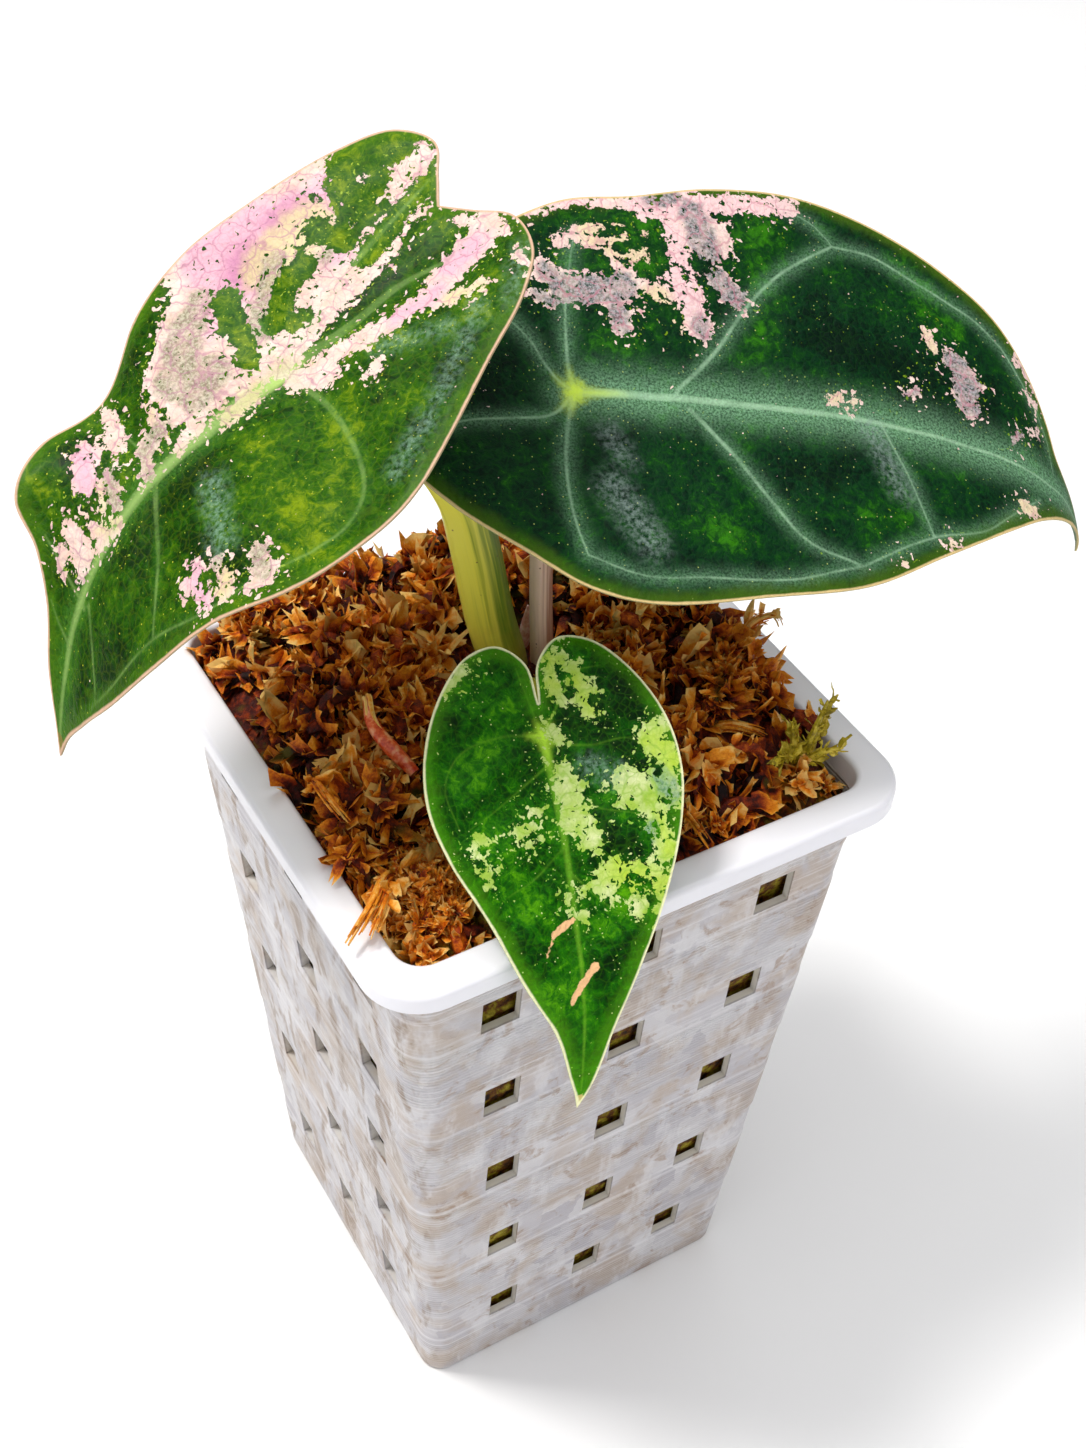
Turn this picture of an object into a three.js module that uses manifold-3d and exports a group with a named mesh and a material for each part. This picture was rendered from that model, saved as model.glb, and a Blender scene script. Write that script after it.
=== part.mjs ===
// Potted variegated elephant ear. Three leaves stand on a corm that is packed in sphagnum
// moss in a tall square net pot. Millimetres, +Z up. The origin is the centre of the pot's
// underside, and the pot's four walls face along X and Y.
import * as THREE from 'three';
import Module from 'manifold-3d';

const wasm = await Module();
wasm.setup();

// Clearance between pieces that touch, and the shortest edge that a joined solid keeps
const GAP = 0.35;
const SHORTEST_EDGE = 0.02;

// Pot
const POT_HEIGHT = 101.5;
const RIM_HALF = 35;
const WALL_TOP_HALF = 31.8;
const WALL_BASE_HALF = 24.7;
const WALL_THICKNESS = 1.3;
const FLOOR_THICKNESS = 1.4;
const FLANGE_THICKNESS = 1.2;
const SKIRT_HEIGHT = 2.9;
const SKIRT_THICKNESS = 1;
const EDGE_ROUNDING = 0.7;
const RIM_CORNER_RADIUS = 7;
const WALL_TOP_RADIUS = 4.6;
const WALL_BASE_RADIUS = 3.4;
const RIM_BEVEL_START = 0.4;
const HOLE_ROWS = 5;
const LOWEST_ROW = 13.4;
const ROW_PITCH = 18.6;
const HOLE_HEIGHT = 5.8;
const HOLE_WIDTH_SHARE = 0.165;
const HOLE_TO_CORNER = 12;
const DRAIN_HOLE = 5;
const DRAIN_PITCH = 13;

// Moss
const MOSS_CROWN = 3.5;
const MOSS_BACK_SLOPE = 0.17;
const MOSS_RIGHT_DIP = 0.02;
const MOSS_RIGHT_DIP_FROM = 22;
const MOSS_LUMPS = 0.8;
const MOSS_SHOULDER = 0.78;
const MOSS_EDGE_SINK = 0.7;
const MOSS_EDGE_DROP = 1.5;
const MOSS_RINGS = [1, 0.93, 0.78, 0.5, 0.22];
const MOSS_INSET = 0.42;
const STRAND_COUNT = 62;
const CLUMP_COUNT = 22;
const STEM_CLEARING = 8.5;

// Plant below the moss surface
const CROWN = [2.6, 3.2, 98];
const CORM_DEPTH = 22;
const CORM_RADII = [3.5, 6.8, 8, 7.4, 5.7];
const ROOT_COUNT = 5;
const ROOT_REACH = 15;
const ROOT_BOTTOM = 22;
const ROOT_RADII = [1.6, 1.2, 0.9, 0.5];
const ROOT_START = 4;

// Blades
const BLADE_THICKNESS = 0.6;
const RIB_HEIGHT = 0.7;
const RIB_HALF_WIDTH = 1.3;
const VEIN_LEAN = 0.45;
const GROOVE_ROUNDING = 3;
const RUFFLE_REACH = 15;
const MARGIN_STEPS = 22;
const RINGS = [0, 0.12, 0.42, 0.74, 1];

// A blade is drawn flat first: s runs along the midrib from the heart, where the petiole
// joins, and t runs across it, to the left of the heading. Each margin lists its points
// from the notch between the back lobes to the tip. The curl and the droops bend the blade
// downwards, in radians per millimetre; each droop starts at its own s.
const LEFT_LEAF = {
  name: 'left_leaf',
  heart: [-23.5, 9, 151.5],
  heading: 183,
  pitch: 29.5,
  roll: -10,
  curl: 0.0066,
  droops: [{ from: 22, rate: 0.0153 }],
  midrib: [[0, 0], [10, -1.2], [20, -1.4], [30, 0.9], [38, 4.5], [46, 9.3]],
  fold: 0.12,
  cup: 0,
  ruffles: [
    { side: -1, at: 17, width: 7, height: -3 },
    { side: -1, at: 35, width: 10, height: 7 },
  ],
  notch: [-23.1, -2.7],
  tip: [46.8, -0.6],
  left: [
    [-25.2, 0.5], [-27.6, 4.6], [-26.5, 9.6], [-22, 13.6], [-15, 16.9], [-8, 20.4],
    [-1, 23.3], [8, 24.4], [14.5, 23], [22, 18.7], [30, 14.4], [36, 9.8], [41, 4.6], [44.4, 1],
  ],
  right: [
    [-25.4, -5.6], [-27.6, -8.8], [-25.4, -13.3], [-19.5, -16.1], [-9.5, -18.2], [0, -18.9],
    [8, -16.6], [17, -12.6], [24, -13.1], [29, -11], [31.3, -6.9], [35, -4], [40.5, -2.6],
    [44.2, -1.3],
  ],
};

const RIGHT_LEAF = {
  name: 'right_leaf',
  heart: [6.5, 0.8, 144.5],
  heading: -20.7,
  pitch: 7.2,
  roll: 28,
  curl: 0.0032,
  droops: [{ from: 50, rate: 0.03 }, { from: 60, rate: 0.05 }],
  midrib: [[0, 0], [20, -0.4], [34, -1], [48, -3], [58, -5.6], [70, -10.5]],
  fold: 0.08,
  cup: 0.0008,
  ruffles: [],
  notch: [-14, 0],
  tip: [70, 0],
  left: [
    [-17.5, 1.6], [-20.2, 5.4], [-19.6, 10.4], [-15, 15.6], [-8, 19.4], [0, 23.2], [8, 24.4],
    [17, 26.4], [27, 27], [37, 25.2], [46, 22], [53.2, 17.8], [57.4, 13], [59.9, 8.2],
    [61.4, 4.4], [65.4, 1.5],
  ],
  right: [
    [-17.5, -1.6], [-20.4, -5], [-19.4, -9], [-14.5, -14.2], [-7.5, -19], [0, -23.6],
    [7, -25], [20, -23.3], [31.6, -21], [41.7, -15.5], [50.7, -9.9], [57, -5.6], [61.5, -3],
    [65.4, -1.4],
  ],
};

const FRONT_LEAF = {
  name: 'front_leaf',
  heart: [-8.7, -20.3, 117.7],
  heading: -105.3,
  pitch: 36,
  roll: -1.7,
  curl: 0.0056,
  droops: [],
  midrib: [[0, 0], [20, 0], [30, -0.6], [38, -2.2], [40, -3]],
  fold: 0.1,
  cup: 0,
  ruffles: [],
  notch: [-3.6, 0.2],
  tip: [39.8, 0],
  left: [
    [-8, 0.9], [-10.5, 3.5], [-9.7, 7.2], [-5.8, 11], [0, 13.8], [5.9, 14.4], [11.7, 13.2],
    [18.5, 10.5], [26.3, 6.4], [32, 3.4], [37, 1.5],
  ],
  right: [
    [-8, -0.4], [-10.4, -3.2], [-9.7, -6.8], [-5.9, -10.5], [0, -13.3], [5.9, -14.1],
    [11.7, -12.8], [18.5, -9.7], [26.3, -6.4], [32, -3.1], [37, -1.2],
  ],
};

// Petiole routes from the crown to the last free point below the blade
const PETIOLES = [
  {
    leaf: LEFT_LEAF,
    route: [
      [0.6, 4.2, 104.5], [-1.2, 4.6, 112.3], [-3.5, 5, 124.9], [-5.3, 5.4, 132],
      [-9.4, 6.2, 138.8],
    ],
    foot: [0.8, 4.2],
    radii: [3, 2.95, 2.9, 2.7, 2.3, 1.5],
    color: 0xa8bf3a,
  },
  {
    leaf: RIGHT_LEAF,
    route: [[5.3, 2.9, 105], [5, 3.3, 114], [4.9, 3.5, 124], [5.6, 3.5, 133]],
    foot: [5.5, 2.7],
    radii: [1.5, 1.4, 1.35, 1.3, 1.2],
    color: 0xc9a9a0,
  },
  {
    leaf: FRONT_LEAF,
    route: [[1, -1.6, 104.6], [-0.6, -6, 109.6], [-4, -12.4, 112.8]],
    foot: [1.5, -0.8],
    radii: [1.2, 1.15, 1.05, 0.9],
    color: 0xa8bf3a,
  },
];
const PETIOLE_SIDES = 8;
const PETIOLE_STEPS = 13;
const PETIOLE_NECK = 2.4;

const SHOOT_ROUTE = [[4.7, 6.4, 98.4], [4.7, 6.5, 104], [5.2, 6.6, 110.5]];
const SHOOT_RADII = [0.9, 0.85, 0.2];

// Single strands that show against the rim, from the root end to the free end
const LOOSE_STRANDS = [
  [[-24, -16, 98], [-27.1, -18.6, 102.9], [-30.6, -22.6, 104.2], [-35.6, -26.4, 103.6]],
  [[-24.6, -18.6, 98], [-27.6, -20.6, 102.7], [-30.6, -24, 103.8], [-33, -26.4, 103.6]],
  [[7.8, -22, 98], [7.2, -25.8, 103], [6.6, -30, 104.2], [6.5, -33.4, 103.6]],
  [[-18.8, 5, 101], [-18.6, 2.6, 108.5], [-19.5, -0.8, 107.6], [-17.5, -7.2, 104.6]],
  [[-27, -1, 98], [-28.2, -3, 104.2], [-28.4, -7.4, 105.2], [-27.6, -11, 103.8]],
  [[24, -8.6, 103], [28, -8.8, 110.4], [29.6, -10.8, 112.4], [29.6, -13.2, 110.8]],
  [[-26.4, -11.4, 98], [-28, -13, 103.4], [-30.8, -15.2, 103.9]],
];
const LOOSE_STRAND_RADII = [0.9, 0.8, 0.6, 0.25];

// A yellow-green sprig of live moss that stands by the right corner
const SPRIG_STEM = [[23.5, -24.5, 93], [23.8, -24.8, 98], [24.6, -25, 103.5]];
const SPRIG_LEAVES = [
  [[24, -24.8, 101], [25.6, -24.8, 105.4], [28, -24, 110]],
  [[24, -24.8, 101], [24, -24, 104.4], [23.6, -23.4, 108]],
  [[24, -24.8, 101.4], [22.4, -25.4, 104.6], [20.4, -25.8, 105.4]],
  [[24, -24.8, 101.2], [26, -26.4, 104.4], [28.4, -27.6, 105.2]],
];
const SPRIG_STEM_RADII = [0.6, 0.6];
const SPRIG_LEAF_RADII = [0.45, 0.8, 0.2];

// Seeded numbers between 0 and 1
function randomSource(seed) {
  let state = seed;
  return () => {
    state = (state + 0x6d2b79f5) | 0;
    let mixed = Math.imul(state ^ (state >>> 15), 1 | state);
    mixed = (mixed + Math.imul(mixed ^ (mixed >>> 7), 61 | mixed)) ^ mixed;
    return ((mixed ^ (mixed >>> 14)) >>> 0) / 4294967296;
  };
}

// Collects triangles, shares equal vertices and drops triangles with no area
class SolidBuilder {
  constructor() {
    this.positions = [];
    this.indices = [];
    this.lookup = new Map();
  }

  vertex(point) {
    const key = point.toArray().map((value) => Math.round(value * 1e4)).join(',');
    if (!this.lookup.has(key)) {
      this.lookup.set(key, this.positions.length / 3);
      this.positions.push(point.x, point.y, point.z);
    }
    return this.lookup.get(key);
  }

  triangle(a, b, c) {
    const [i, j, k] = [this.vertex(a), this.vertex(b), this.vertex(c)];
    if (i !== j && j !== k && k !== i) {
      this.indices.push(i, j, k);
    }
  }

  quad(a, b, c, d, flipped = false) {
    if (flipped) {
      this.triangle(a, c, b);
      this.triangle(a, d, c);
    } else {
      this.triangle(a, b, c);
      this.triangle(a, c, d);
    }
  }

  // Stacks rings of equally many points, with flat ends. Rings turn anticlockwise about
  // the direction in which they follow each other.
  stack(rings) {
    const count = rings[0].length;
    for (let level = 0; level + 1 < rings.length; level += 1) {
      for (let i = 0; i < count; i += 1) {
        const next = (i + 1) % count;
        this.quad(rings[level][i], rings[level][next], rings[level + 1][next], rings[level + 1][i]);
      }
    }
    const last = rings[rings.length - 1];
    for (let i = 1; i + 1 < count; i += 1) {
      this.triangle(rings[0][0], rings[0][i + 1], rings[0][i]);
      this.triangle(last[0], last[i], last[i + 1]);
    }
    return this;
  }

  geometry() {
    const geometry = new THREE.BufferGeometry();
    geometry.setAttribute('position', new THREE.Float32BufferAttribute(this.positions, 3));
    geometry.setIndex(this.indices);
    return geometry;
  }

  manifold() {
    return new wasm.Manifold(new wasm.Mesh({
      numProp: 3,
      vertProperties: new Float32Array(this.positions),
      triVerts: new Uint32Array(this.indices),
    }));
  }
}

// Any closed three.js geometry as a manifold
function manifoldOf(geometry) {
  const builder = new SolidBuilder();
  const place = geometry.attributes.position;
  const corner = (i) => {
    const at = geometry.index ? geometry.index.getX(i) : i;
    return new THREE.Vector3().fromBufferAttribute(place, at);
  };
  const corners = geometry.index ? geometry.index.count : place.count;
  for (let i = 0; i < corners; i += 3) {
    builder.triangle(corner(i), corner(i + 1), corner(i + 2));
  }
  return builder.manifold();
}

// A joined solid as a geometry. Corners closer together than the shortest edge become one.
function geometryOf(solid) {
  const { vertProperties, triVerts } = solid.getMesh();
  const corner = (i) => new THREE.Vector3().fromArray(vertProperties, i * 3);
  const kept = Array.from({ length: vertProperties.length / 3 }, (_, i) => i);
  const keeper = (i) => {
    while (kept[i] !== i) {
      i = kept[i];
    }
    return i;
  };
  for (let i = 0; i < triVerts.length; i += 1) {
    const next = i % 3 === 2 ? i - 2 : i + 1;
    const [a, b] = [keeper(triVerts[i]), keeper(triVerts[next])];
    if (corner(a).distanceTo(corner(b)) < SHORTEST_EDGE) {
      kept[Math.max(a, b)] = Math.min(a, b);
    }
  }
  const builder = new SolidBuilder();
  for (let i = 0; i < triVerts.length; i += 3) {
    builder.triangle(...[0, 1, 2].map((k) => corner(keeper(triVerts[i + k]))));
  }
  return builder.geometry();
}

function join(solids) {
  return solids.reduce((whole, solid) => whole.add(solid));
}

// The one body that is left when loose scraps are dropped
function largestBody(solid) {
  return solid.decompose().reduce((best, body) => (body.volume() > best.volume() ? body : best));
}

// Square ring with rounded corners, anticlockwise seen from above
function roundedSquare(half, radius, z, cornerSteps = 5) {
  const ring = [];
  for (let corner = 0; corner < 4; corner += 1) {
    for (let step = 0; step <= cornerSteps; step += 1) {
      const angle = (corner + step / cornerSteps) * Math.PI / 2;
      const centre = (half - radius) * Math.SQRT2;
      const diagonal = (corner + 0.5) * Math.PI / 2;
      ring.push(new THREE.Vector3(
        centre * Math.cos(diagonal) + radius * Math.cos(angle),
        centre * Math.sin(diagonal) + radius * Math.sin(angle),
        z,
      ));
    }
  }
  return ring;
}

function loft(rings) {
  return new SolidBuilder().stack(rings).manifold();
}

// Closed tube along a smooth curve, with radii spread evenly from end to end
function stalk(points, radii, sides, steps, growth = 0) {
  const curve = new THREE.CatmullRomCurve3(points.map((point) => new THREE.Vector3(...point)));
  const frames = curve.computeFrenetFrames(steps, false);
  const rings = [];
  for (let step = 0; step <= steps; step += 1) {
    const centre = curve.getPointAt(step / steps);
    const place = (step / steps) * (radii.length - 1);
    const below = Math.min(Math.floor(place), radii.length - 2);
    const radius = THREE.MathUtils.lerp(radii[below], radii[below + 1], place - below) + growth;
    const ring = [];
    for (let side = 0; side < sides; side += 1) {
      const angle = (side / sides) * Math.PI * 2;
      ring.push(centre.clone()
        .addScaledVector(frames.normals[step], Math.cos(angle) * radius)
        .addScaledVector(frames.binormals[step], Math.sin(angle) * radius));
    }
    rings.push(ring);
  }
  return new SolidBuilder().stack(rings);
}

// Value of a smooth line through hand-set points, level at its start and straight beyond
// its end
function through(points, at) {
  const slope = (i) => {
    if (i === 0) {
      return 0;
    }
    const [x0, y0] = points[i - 1];
    const [x1, y1] = points[Math.min(i + 1, points.length - 1)];
    return (y1 - y0) / (x1 - x0);
  };
  const last = points.length - 1;
  if (at <= points[0][0]) {
    return points[0][1];
  }
  if (at >= points[last][0]) {
    return points[last][1] + (at - points[last][0]) * slope(last);
  }
  const i = points.findIndex(([x]) => x > at) - 1;
  const width = points[i + 1][0] - points[i][0];
  const u = (at - points[i][0]) / width;
  return (2 * u ** 3 - 3 * u ** 2 + 1) * points[i][1]
    + (u ** 3 - 2 * u ** 2 + u) * width * slope(i)
    + (3 * u ** 2 - 2 * u ** 3) * points[i + 1][1]
    + (u ** 3 - u ** 2) * width * slope(i + 1);
}

// The blade's middle surface. It returns a function from s, t and a lift along the normal
// to a point in space.
function bladeSurface(leaf) {
  const [heading, pitch, roll] = [leaf.heading, leaf.pitch, leaf.roll].map(THREE.MathUtils.degToRad);
  const along = new THREE.Vector3(
    Math.cos(heading) * Math.cos(pitch),
    Math.sin(heading) * Math.cos(pitch),
    -Math.sin(pitch),
  );
  const across = new THREE.Vector3(-Math.sin(heading), Math.cos(heading), 0).applyAxisAngle(along, roll);
  const up = along.clone().cross(across);
  const heart = new THREE.Vector3(...leaf.heart);

  const bend = (s) => leaf.droops.reduce(
    (sum, droop) => sum + droop.rate * Math.max(0, s - droop.from),
    leaf.curl * Math.max(0, s),
  );
  const bentMidrib = (s) => {
    const parts = 24;
    let [forward, lifted] = [0, 0];
    for (let i = 0; i < parts; i += 1) {
      const angle = bend(s * (i + 0.5) / parts);
      forward += Math.cos(angle) * s / parts;
      lifted -= Math.sin(angle) * s / parts;
    }
    return [forward, lifted];
  };
  const height = (s, t) => {
    const groove = leaf.fold * (Math.hypot(t, GROOVE_ROUNDING) - GROOVE_ROUNDING) - leaf.cup * t * t;
    return leaf.ruffles.reduce((sum, ruffle) => {
      const outward = Math.max(0, ruffle.side * t / RUFFLE_REACH) ** 1.7;
      return sum + ruffle.height * Math.exp(-(((s - ruffle.at) / ruffle.width) ** 2)) * outward;
    }, groove);
  };
  const middle = (s, t) => {
    const [forward, lifted] = bentMidrib(s);
    const angle = bend(s);
    const rise = height(s, t);
    return heart.clone()
      .addScaledVector(along, forward + Math.sin(angle) * rise)
      .addScaledVector(up, lifted + Math.cos(angle) * rise)
      .addScaledVector(across, t + through(leaf.midrib, s));
  };
  return (s, t, lift = 0) => {
    const probe = 0.05;
    const lengthwise = middle(s + probe, t).sub(middle(s - probe, t));
    const crosswise = middle(s, t + probe).sub(middle(s, t - probe));
    return middle(s, t).addScaledVector(lengthwise.cross(crosswise).normalize(), lift);
  };
}

// Evenly spaced points of both margins. Each pair shares the s on the midrib that its
// veins leave.
function marginStations(leaf) {
  const [left, right] = [leaf.left, leaf.right].map((margin) => {
    const points = [leaf.notch, ...margin, leaf.tip];
    return new THREE.CatmullRomCurve3(points.map(([s, t]) => new THREE.Vector3(s, t, 0)))
      .getSpacedPoints(MARGIN_STEPS);
  });
  const veinStart = ({ x: s, y: t }) => THREE.MathUtils.clamp(s - VEIN_LEAN * Math.abs(t), 0, leaf.tip[0]);
  return left.map((point, k) => {
    const foot = (veinStart(point) + veinStart(right[k])) / 2;
    return { foot, left: point, right: right[k] };
  });
}

function blade(leaf) {
  const place = bladeSurface(leaf);
  const builder = new SolidBuilder();
  const half = BLADE_THICKNESS / 2;
  const stations = marginStations(leaf);
  const layer = (station, side, ring, upper) => {
    const s = THREE.MathUtils.lerp(station.foot, station[side].x, ring);
    const t = station[side].y * ring;
    const toTip = THREE.MathUtils.clamp(1 - s / leaf.tip[0], 0, 1);
    const rib = RIB_HEIGHT * toTip * Math.exp(-((t / RIB_HALF_WIDTH) ** 2));
    return place(s, t, upper ? half : -half - rib);
  };
  for (const side of ['left', 'right']) {
    const turned = side === 'right';
    for (let k = 0; k + 1 < stations.length; k += 1) {
      const [near, far] = [stations[k], stations[k + 1]];
      for (let j = 0; j + 1 < RINGS.length; j += 1) {
        for (const upper of [true, false]) {
          builder.quad(
            layer(near, side, RINGS[j], upper),
            layer(far, side, RINGS[j], upper),
            layer(far, side, RINGS[j + 1], upper),
            layer(near, side, RINGS[j + 1], upper),
            turned === upper,
          );
        }
      }
      builder.quad(
        layer(near, side, 1, true),
        layer(far, side, 1, true),
        layer(far, side, 1, false),
        layer(near, side, 1, false),
        turned,
      );
    }
  }
  return builder;
}

function petiole({ leaf, route, foot, radii }, growth = 0) {
  const place = bladeSurface(leaf);
  const seat = BLADE_THICKNESS / 2 + RIB_HEIGHT + GAP;
  const clearance = growth > 0 ? 0 : GAP;
  const neck = [PETIOLE_NECK, 0].map((drop) => place(0, 0, -seat - drop).toArray());
  return stalk(
    [[...foot, CROWN[2] + clearance], ...route, ...neck],
    radii,
    PETIOLE_SIDES,
    PETIOLE_STEPS,
    growth,
  );
}

function rootRoute(index) {
  const angle = (index / ROOT_COUNT) * Math.PI * 2 + 0.4;
  const [x, y, z] = CROWN;
  const top = z - CORM_DEPTH + ROOT_START;
  const reach = (share) => [x + Math.cos(angle) * share, y + Math.sin(angle) * share];
  return [
    [...reach(1.5), top],
    [...reach(ROOT_REACH * 0.6), top - 12],
    [...reach(ROOT_REACH * 0.85), (top + ROOT_BOTTOM) / 2 - 6],
    [...reach(ROOT_REACH), ROOT_BOTTOM + 3 * (index % 3)],
  ];
}

function cormWithRoots(growth = 0) {
  const [x, y, z] = CROWN;
  const axis = [[x, y, z - CORM_DEPTH - growth], [x, y, z + growth]];
  const corm = stalk(axis, CORM_RADII, 12, 6, growth).manifold();
  const roots = [];
  for (let i = 0; i < ROOT_COUNT; i += 1) {
    roots.push(stalk(rootRoute(i), ROOT_RADII, 5, 5, growth).manifold());
  }
  return join([corm, ...roots]);
}

function wallHalf(z) {
  return THREE.MathUtils.lerp(WALL_BASE_HALF, WALL_TOP_HALF, z / POT_HEIGHT);
}

function wallRadius(z) {
  return THREE.MathUtils.lerp(WALL_BASE_RADIUS, WALL_TOP_RADIUS, z / POT_HEIGHT);
}

function potHoles() {
  const holes = [];
  for (let row = 0; row < HOLE_ROWS; row += 1) {
    const z = LOWEST_ROW + ROW_PITCH * row;
    const half = wallHalf(z);
    const width = half * HOLE_WIDTH_SHARE;
    for (const column of [-1, 0, 1]) {
      for (let side = 0; side < 4; side += 1) {
        const cutter = new THREE.BoxGeometry(width, WALL_THICKNESS * 4, HOLE_HEIGHT)
          .translate(column * (half - HOLE_TO_CORNER), -half, z)
          .rotateZ(side * Math.PI / 2);
        holes.push(manifoldOf(cutter));
      }
    }
  }
  for (const x of [-1, 0, 1]) {
    for (const y of [-1, 0, 1]) {
      if (x !== 0 || y !== 0) {
        const cutter = new THREE.BoxGeometry(DRAIN_HOLE, DRAIN_HOLE, FLOOR_THICKNESS * 4)
          .translate(x * DRAIN_PITCH, y * DRAIN_PITCH, 0);
        holes.push(manifoldOf(cutter));
      }
    }
  }
  return join(holes);
}

// Outline of the pot's inside at a height, spread outwards by a margin
function insideOutline(z, spread = 0) {
  return roundedSquare(
    wallHalf(z) - WALL_THICKNESS + spread,
    wallRadius(z) - WALL_THICKNESS + spread,
    z,
  );
}

function netPot() {
  const outline = (z) => roundedSquare(wallHalf(z), wallRadius(z), z);
  const wall = loft([
    roundedSquare(WALL_BASE_HALF - EDGE_ROUNDING, WALL_BASE_RADIUS - EDGE_ROUNDING, 0),
    outline(EDGE_ROUNDING),
    outline(POT_HEIGHT - RIM_BEVEL_START),
  ]);
  const flange = loft([
    roundedSquare(RIM_HALF, RIM_CORNER_RADIUS, POT_HEIGHT - SKIRT_HEIGHT),
    roundedSquare(RIM_HALF, RIM_CORNER_RADIUS, POT_HEIGHT - EDGE_ROUNDING),
    roundedSquare(RIM_HALF - EDGE_ROUNDING, RIM_CORNER_RADIUS - EDGE_ROUNDING, POT_HEIGHT),
  ]);
  const underRim = loft([POT_HEIGHT - SKIRT_HEIGHT - 1, POT_HEIGHT - FLANGE_THICKNESS].map(
    (z) => roundedSquare(RIM_HALF - SKIRT_THICKNESS, RIM_CORNER_RADIUS - SKIRT_THICKNESS, z),
  ));
  const cavity = loft([
    insideOutline(FLOOR_THICKNESS),
    insideOutline(POT_HEIGHT - EDGE_ROUNDING),
    insideOutline(POT_HEIGHT, EDGE_ROUNDING),
    insideOutline(POT_HEIGHT + 1, EDGE_ROUNDING),
  ]);
  return flange.subtract(underRim).add(wall).subtract(cavity).subtract(potHoles());
}

// Height of the moss surface: it climbs towards the back corner, sinks at the right one,
// is lumpy all over and rounds down to the wall
function mossTop(x, y) {
  const back = (x + y) / Math.SQRT2;
  const right = (x - y) / Math.SQRT2;
  const dip = MOSS_RIGHT_DIP * Math.max(0, right - MOSS_RIGHT_DIP_FROM) ** 2;
  const lumps = Math.sin(0.41 * x + 1.3) * Math.cos(0.37 * y - 0.6) + 0.6 * Math.sin(0.83 * x - 0.71 * y);
  const rise = MOSS_CROWN + MOSS_BACK_SLOPE * back - dip + MOSS_LUMPS * lumps;
  const outward = Math.max(Math.abs(x), Math.abs(y)) / (WALL_TOP_HALF - WALL_THICKNESS);
  const edge = THREE.MathUtils.smoothstep(outward, MOSS_SHOULDER, 1);
  return POT_HEIGHT + rise - edge * (MOSS_EDGE_SINK * Math.max(0, rise) + MOSS_EDGE_DROP);
}

function mossCore() {
  const rings = [insideOutline(FLOOR_THICKNESS + MOSS_INSET, -MOSS_INSET)];
  const edge = insideOutline(POT_HEIGHT - EDGE_ROUNDING, -MOSS_INSET);
  for (const share of MOSS_RINGS) {
    rings.push(edge.map((point) => {
      const [x, y] = [point.x * share, point.y * share];
      return new THREE.Vector3(x, y, mossTop(x, y));
    }));
  }
  return loft(rings);
}

// Where the moss can't be: the pot with its clearance, out to well past the rim
function potSurround() {
  const [bottom, top] = [FLOOR_THICKNESS + GAP, POT_HEIGHT + GAP];
  const block = loft([roundedSquare(RIM_HALF * 1.5, 1, 0), roundedSquare(RIM_HALF * 1.5, 1, top)]);
  return block.subtract(loft([insideOutline(bottom, -GAP), insideOutline(top + 1, -GAP)]));
}

// Arching strand with one end or both ends rooted in the moss
function mossStrand(random, inner) {
  const angle = random() * Math.PI * 2;
  const length = 6 + 8 * random();
  const rise = 1.2 + 2.2 * random();
  const start = [(random() * 2 - 1) * inner, (random() * 2 - 1) * inner];
  const free = random() < 0.3;
  const at = (share, lift) => {
    const [x, y] = start.map((value, axis) => {
      const heading = axis === 0 ? Math.cos(angle) : Math.sin(angle);
      return THREE.MathUtils.clamp(value + heading * length * share, -inner, inner);
    });
    return [x, y, mossTop(x, y) + lift];
  };
  const points = [at(0, -2.5), at(0.3, rise * 0.7), at(0.65, rise), at(1, free ? rise * 1.2 : -2.2)];
  const radius = 0.5 + 0.5 * random();
  return { points, radii: [radius, radius, radius * 0.9, free ? 0.25 : radius * 0.7] };
}

function nearStems([x, y]) {
  return Math.hypot(x - CROWN[0], y - CROWN[1]) < STEM_CLEARING;
}

function sphagnumMoss() {
  const random = randomSource(11);
  const inner = wallHalf(POT_HEIGHT) - WALL_THICKNESS - 2;
  const pieces = [mossCore()];
  while (pieces.length <= STRAND_COUNT) {
    const { points, radii } = mossStrand(random, inner);
    if (!points.some(nearStems)) {
      pieces.push(stalk(points, radii, 3, 3).manifold());
    }
  }
  for (let i = 0; i < CLUMP_COUNT; i += 1) {
    const [x, y] = [(random() * 2 - 1) * inner * 0.94, (random() * 2 - 1) * inner * 0.94];
    const clump = new THREE.IcosahedronGeometry(1.6 + random(), 0)
      .rotateX(random() * 3)
      .scale(1 + 0.4 * random(), 1, 0.8)
      .rotateZ(random() * 6)
      .translate(x, y, mossTop(x, y) + 0.4);
    if (!nearStems([x, y])) {
      pieces.push(manifoldOf(clump));
    }
  }
  for (const points of LOOSE_STRANDS) {
    pieces.push(stalk(points, LOOSE_STRAND_RADII, 4, 6).manifold());
  }
  const cutters = [
    potSurround(),
    cormWithRoots(GAP),
    ...PETIOLES.map((item) => petiole(item, GAP).manifold()),
    stalk(SHOOT_ROUTE, SHOOT_RADII, 8, 5, GAP).manifold(),
    mossSprig(GAP),
  ];
  return largestBody(join(pieces).subtract(join(cutters)));
}

function mossSprig(growth = 0) {
  const stem = stalk(SPRIG_STEM, SPRIG_STEM_RADII, 5, 3, growth).manifold();
  const leaves = SPRIG_LEAVES.map((points) => stalk(points, SPRIG_LEAF_RADII, 4, 4, growth).manifold());
  return join([stem, ...leaves]);
}

function mesh(name, geometry, color, roughness) {
  geometry.computeVertexNormals();
  const material = new THREE.MeshStandardMaterial({ color, roughness, metalness: 0 });
  const piece = new THREE.Mesh(geometry, material);
  piece.name = name;
  return piece;
}

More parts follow.
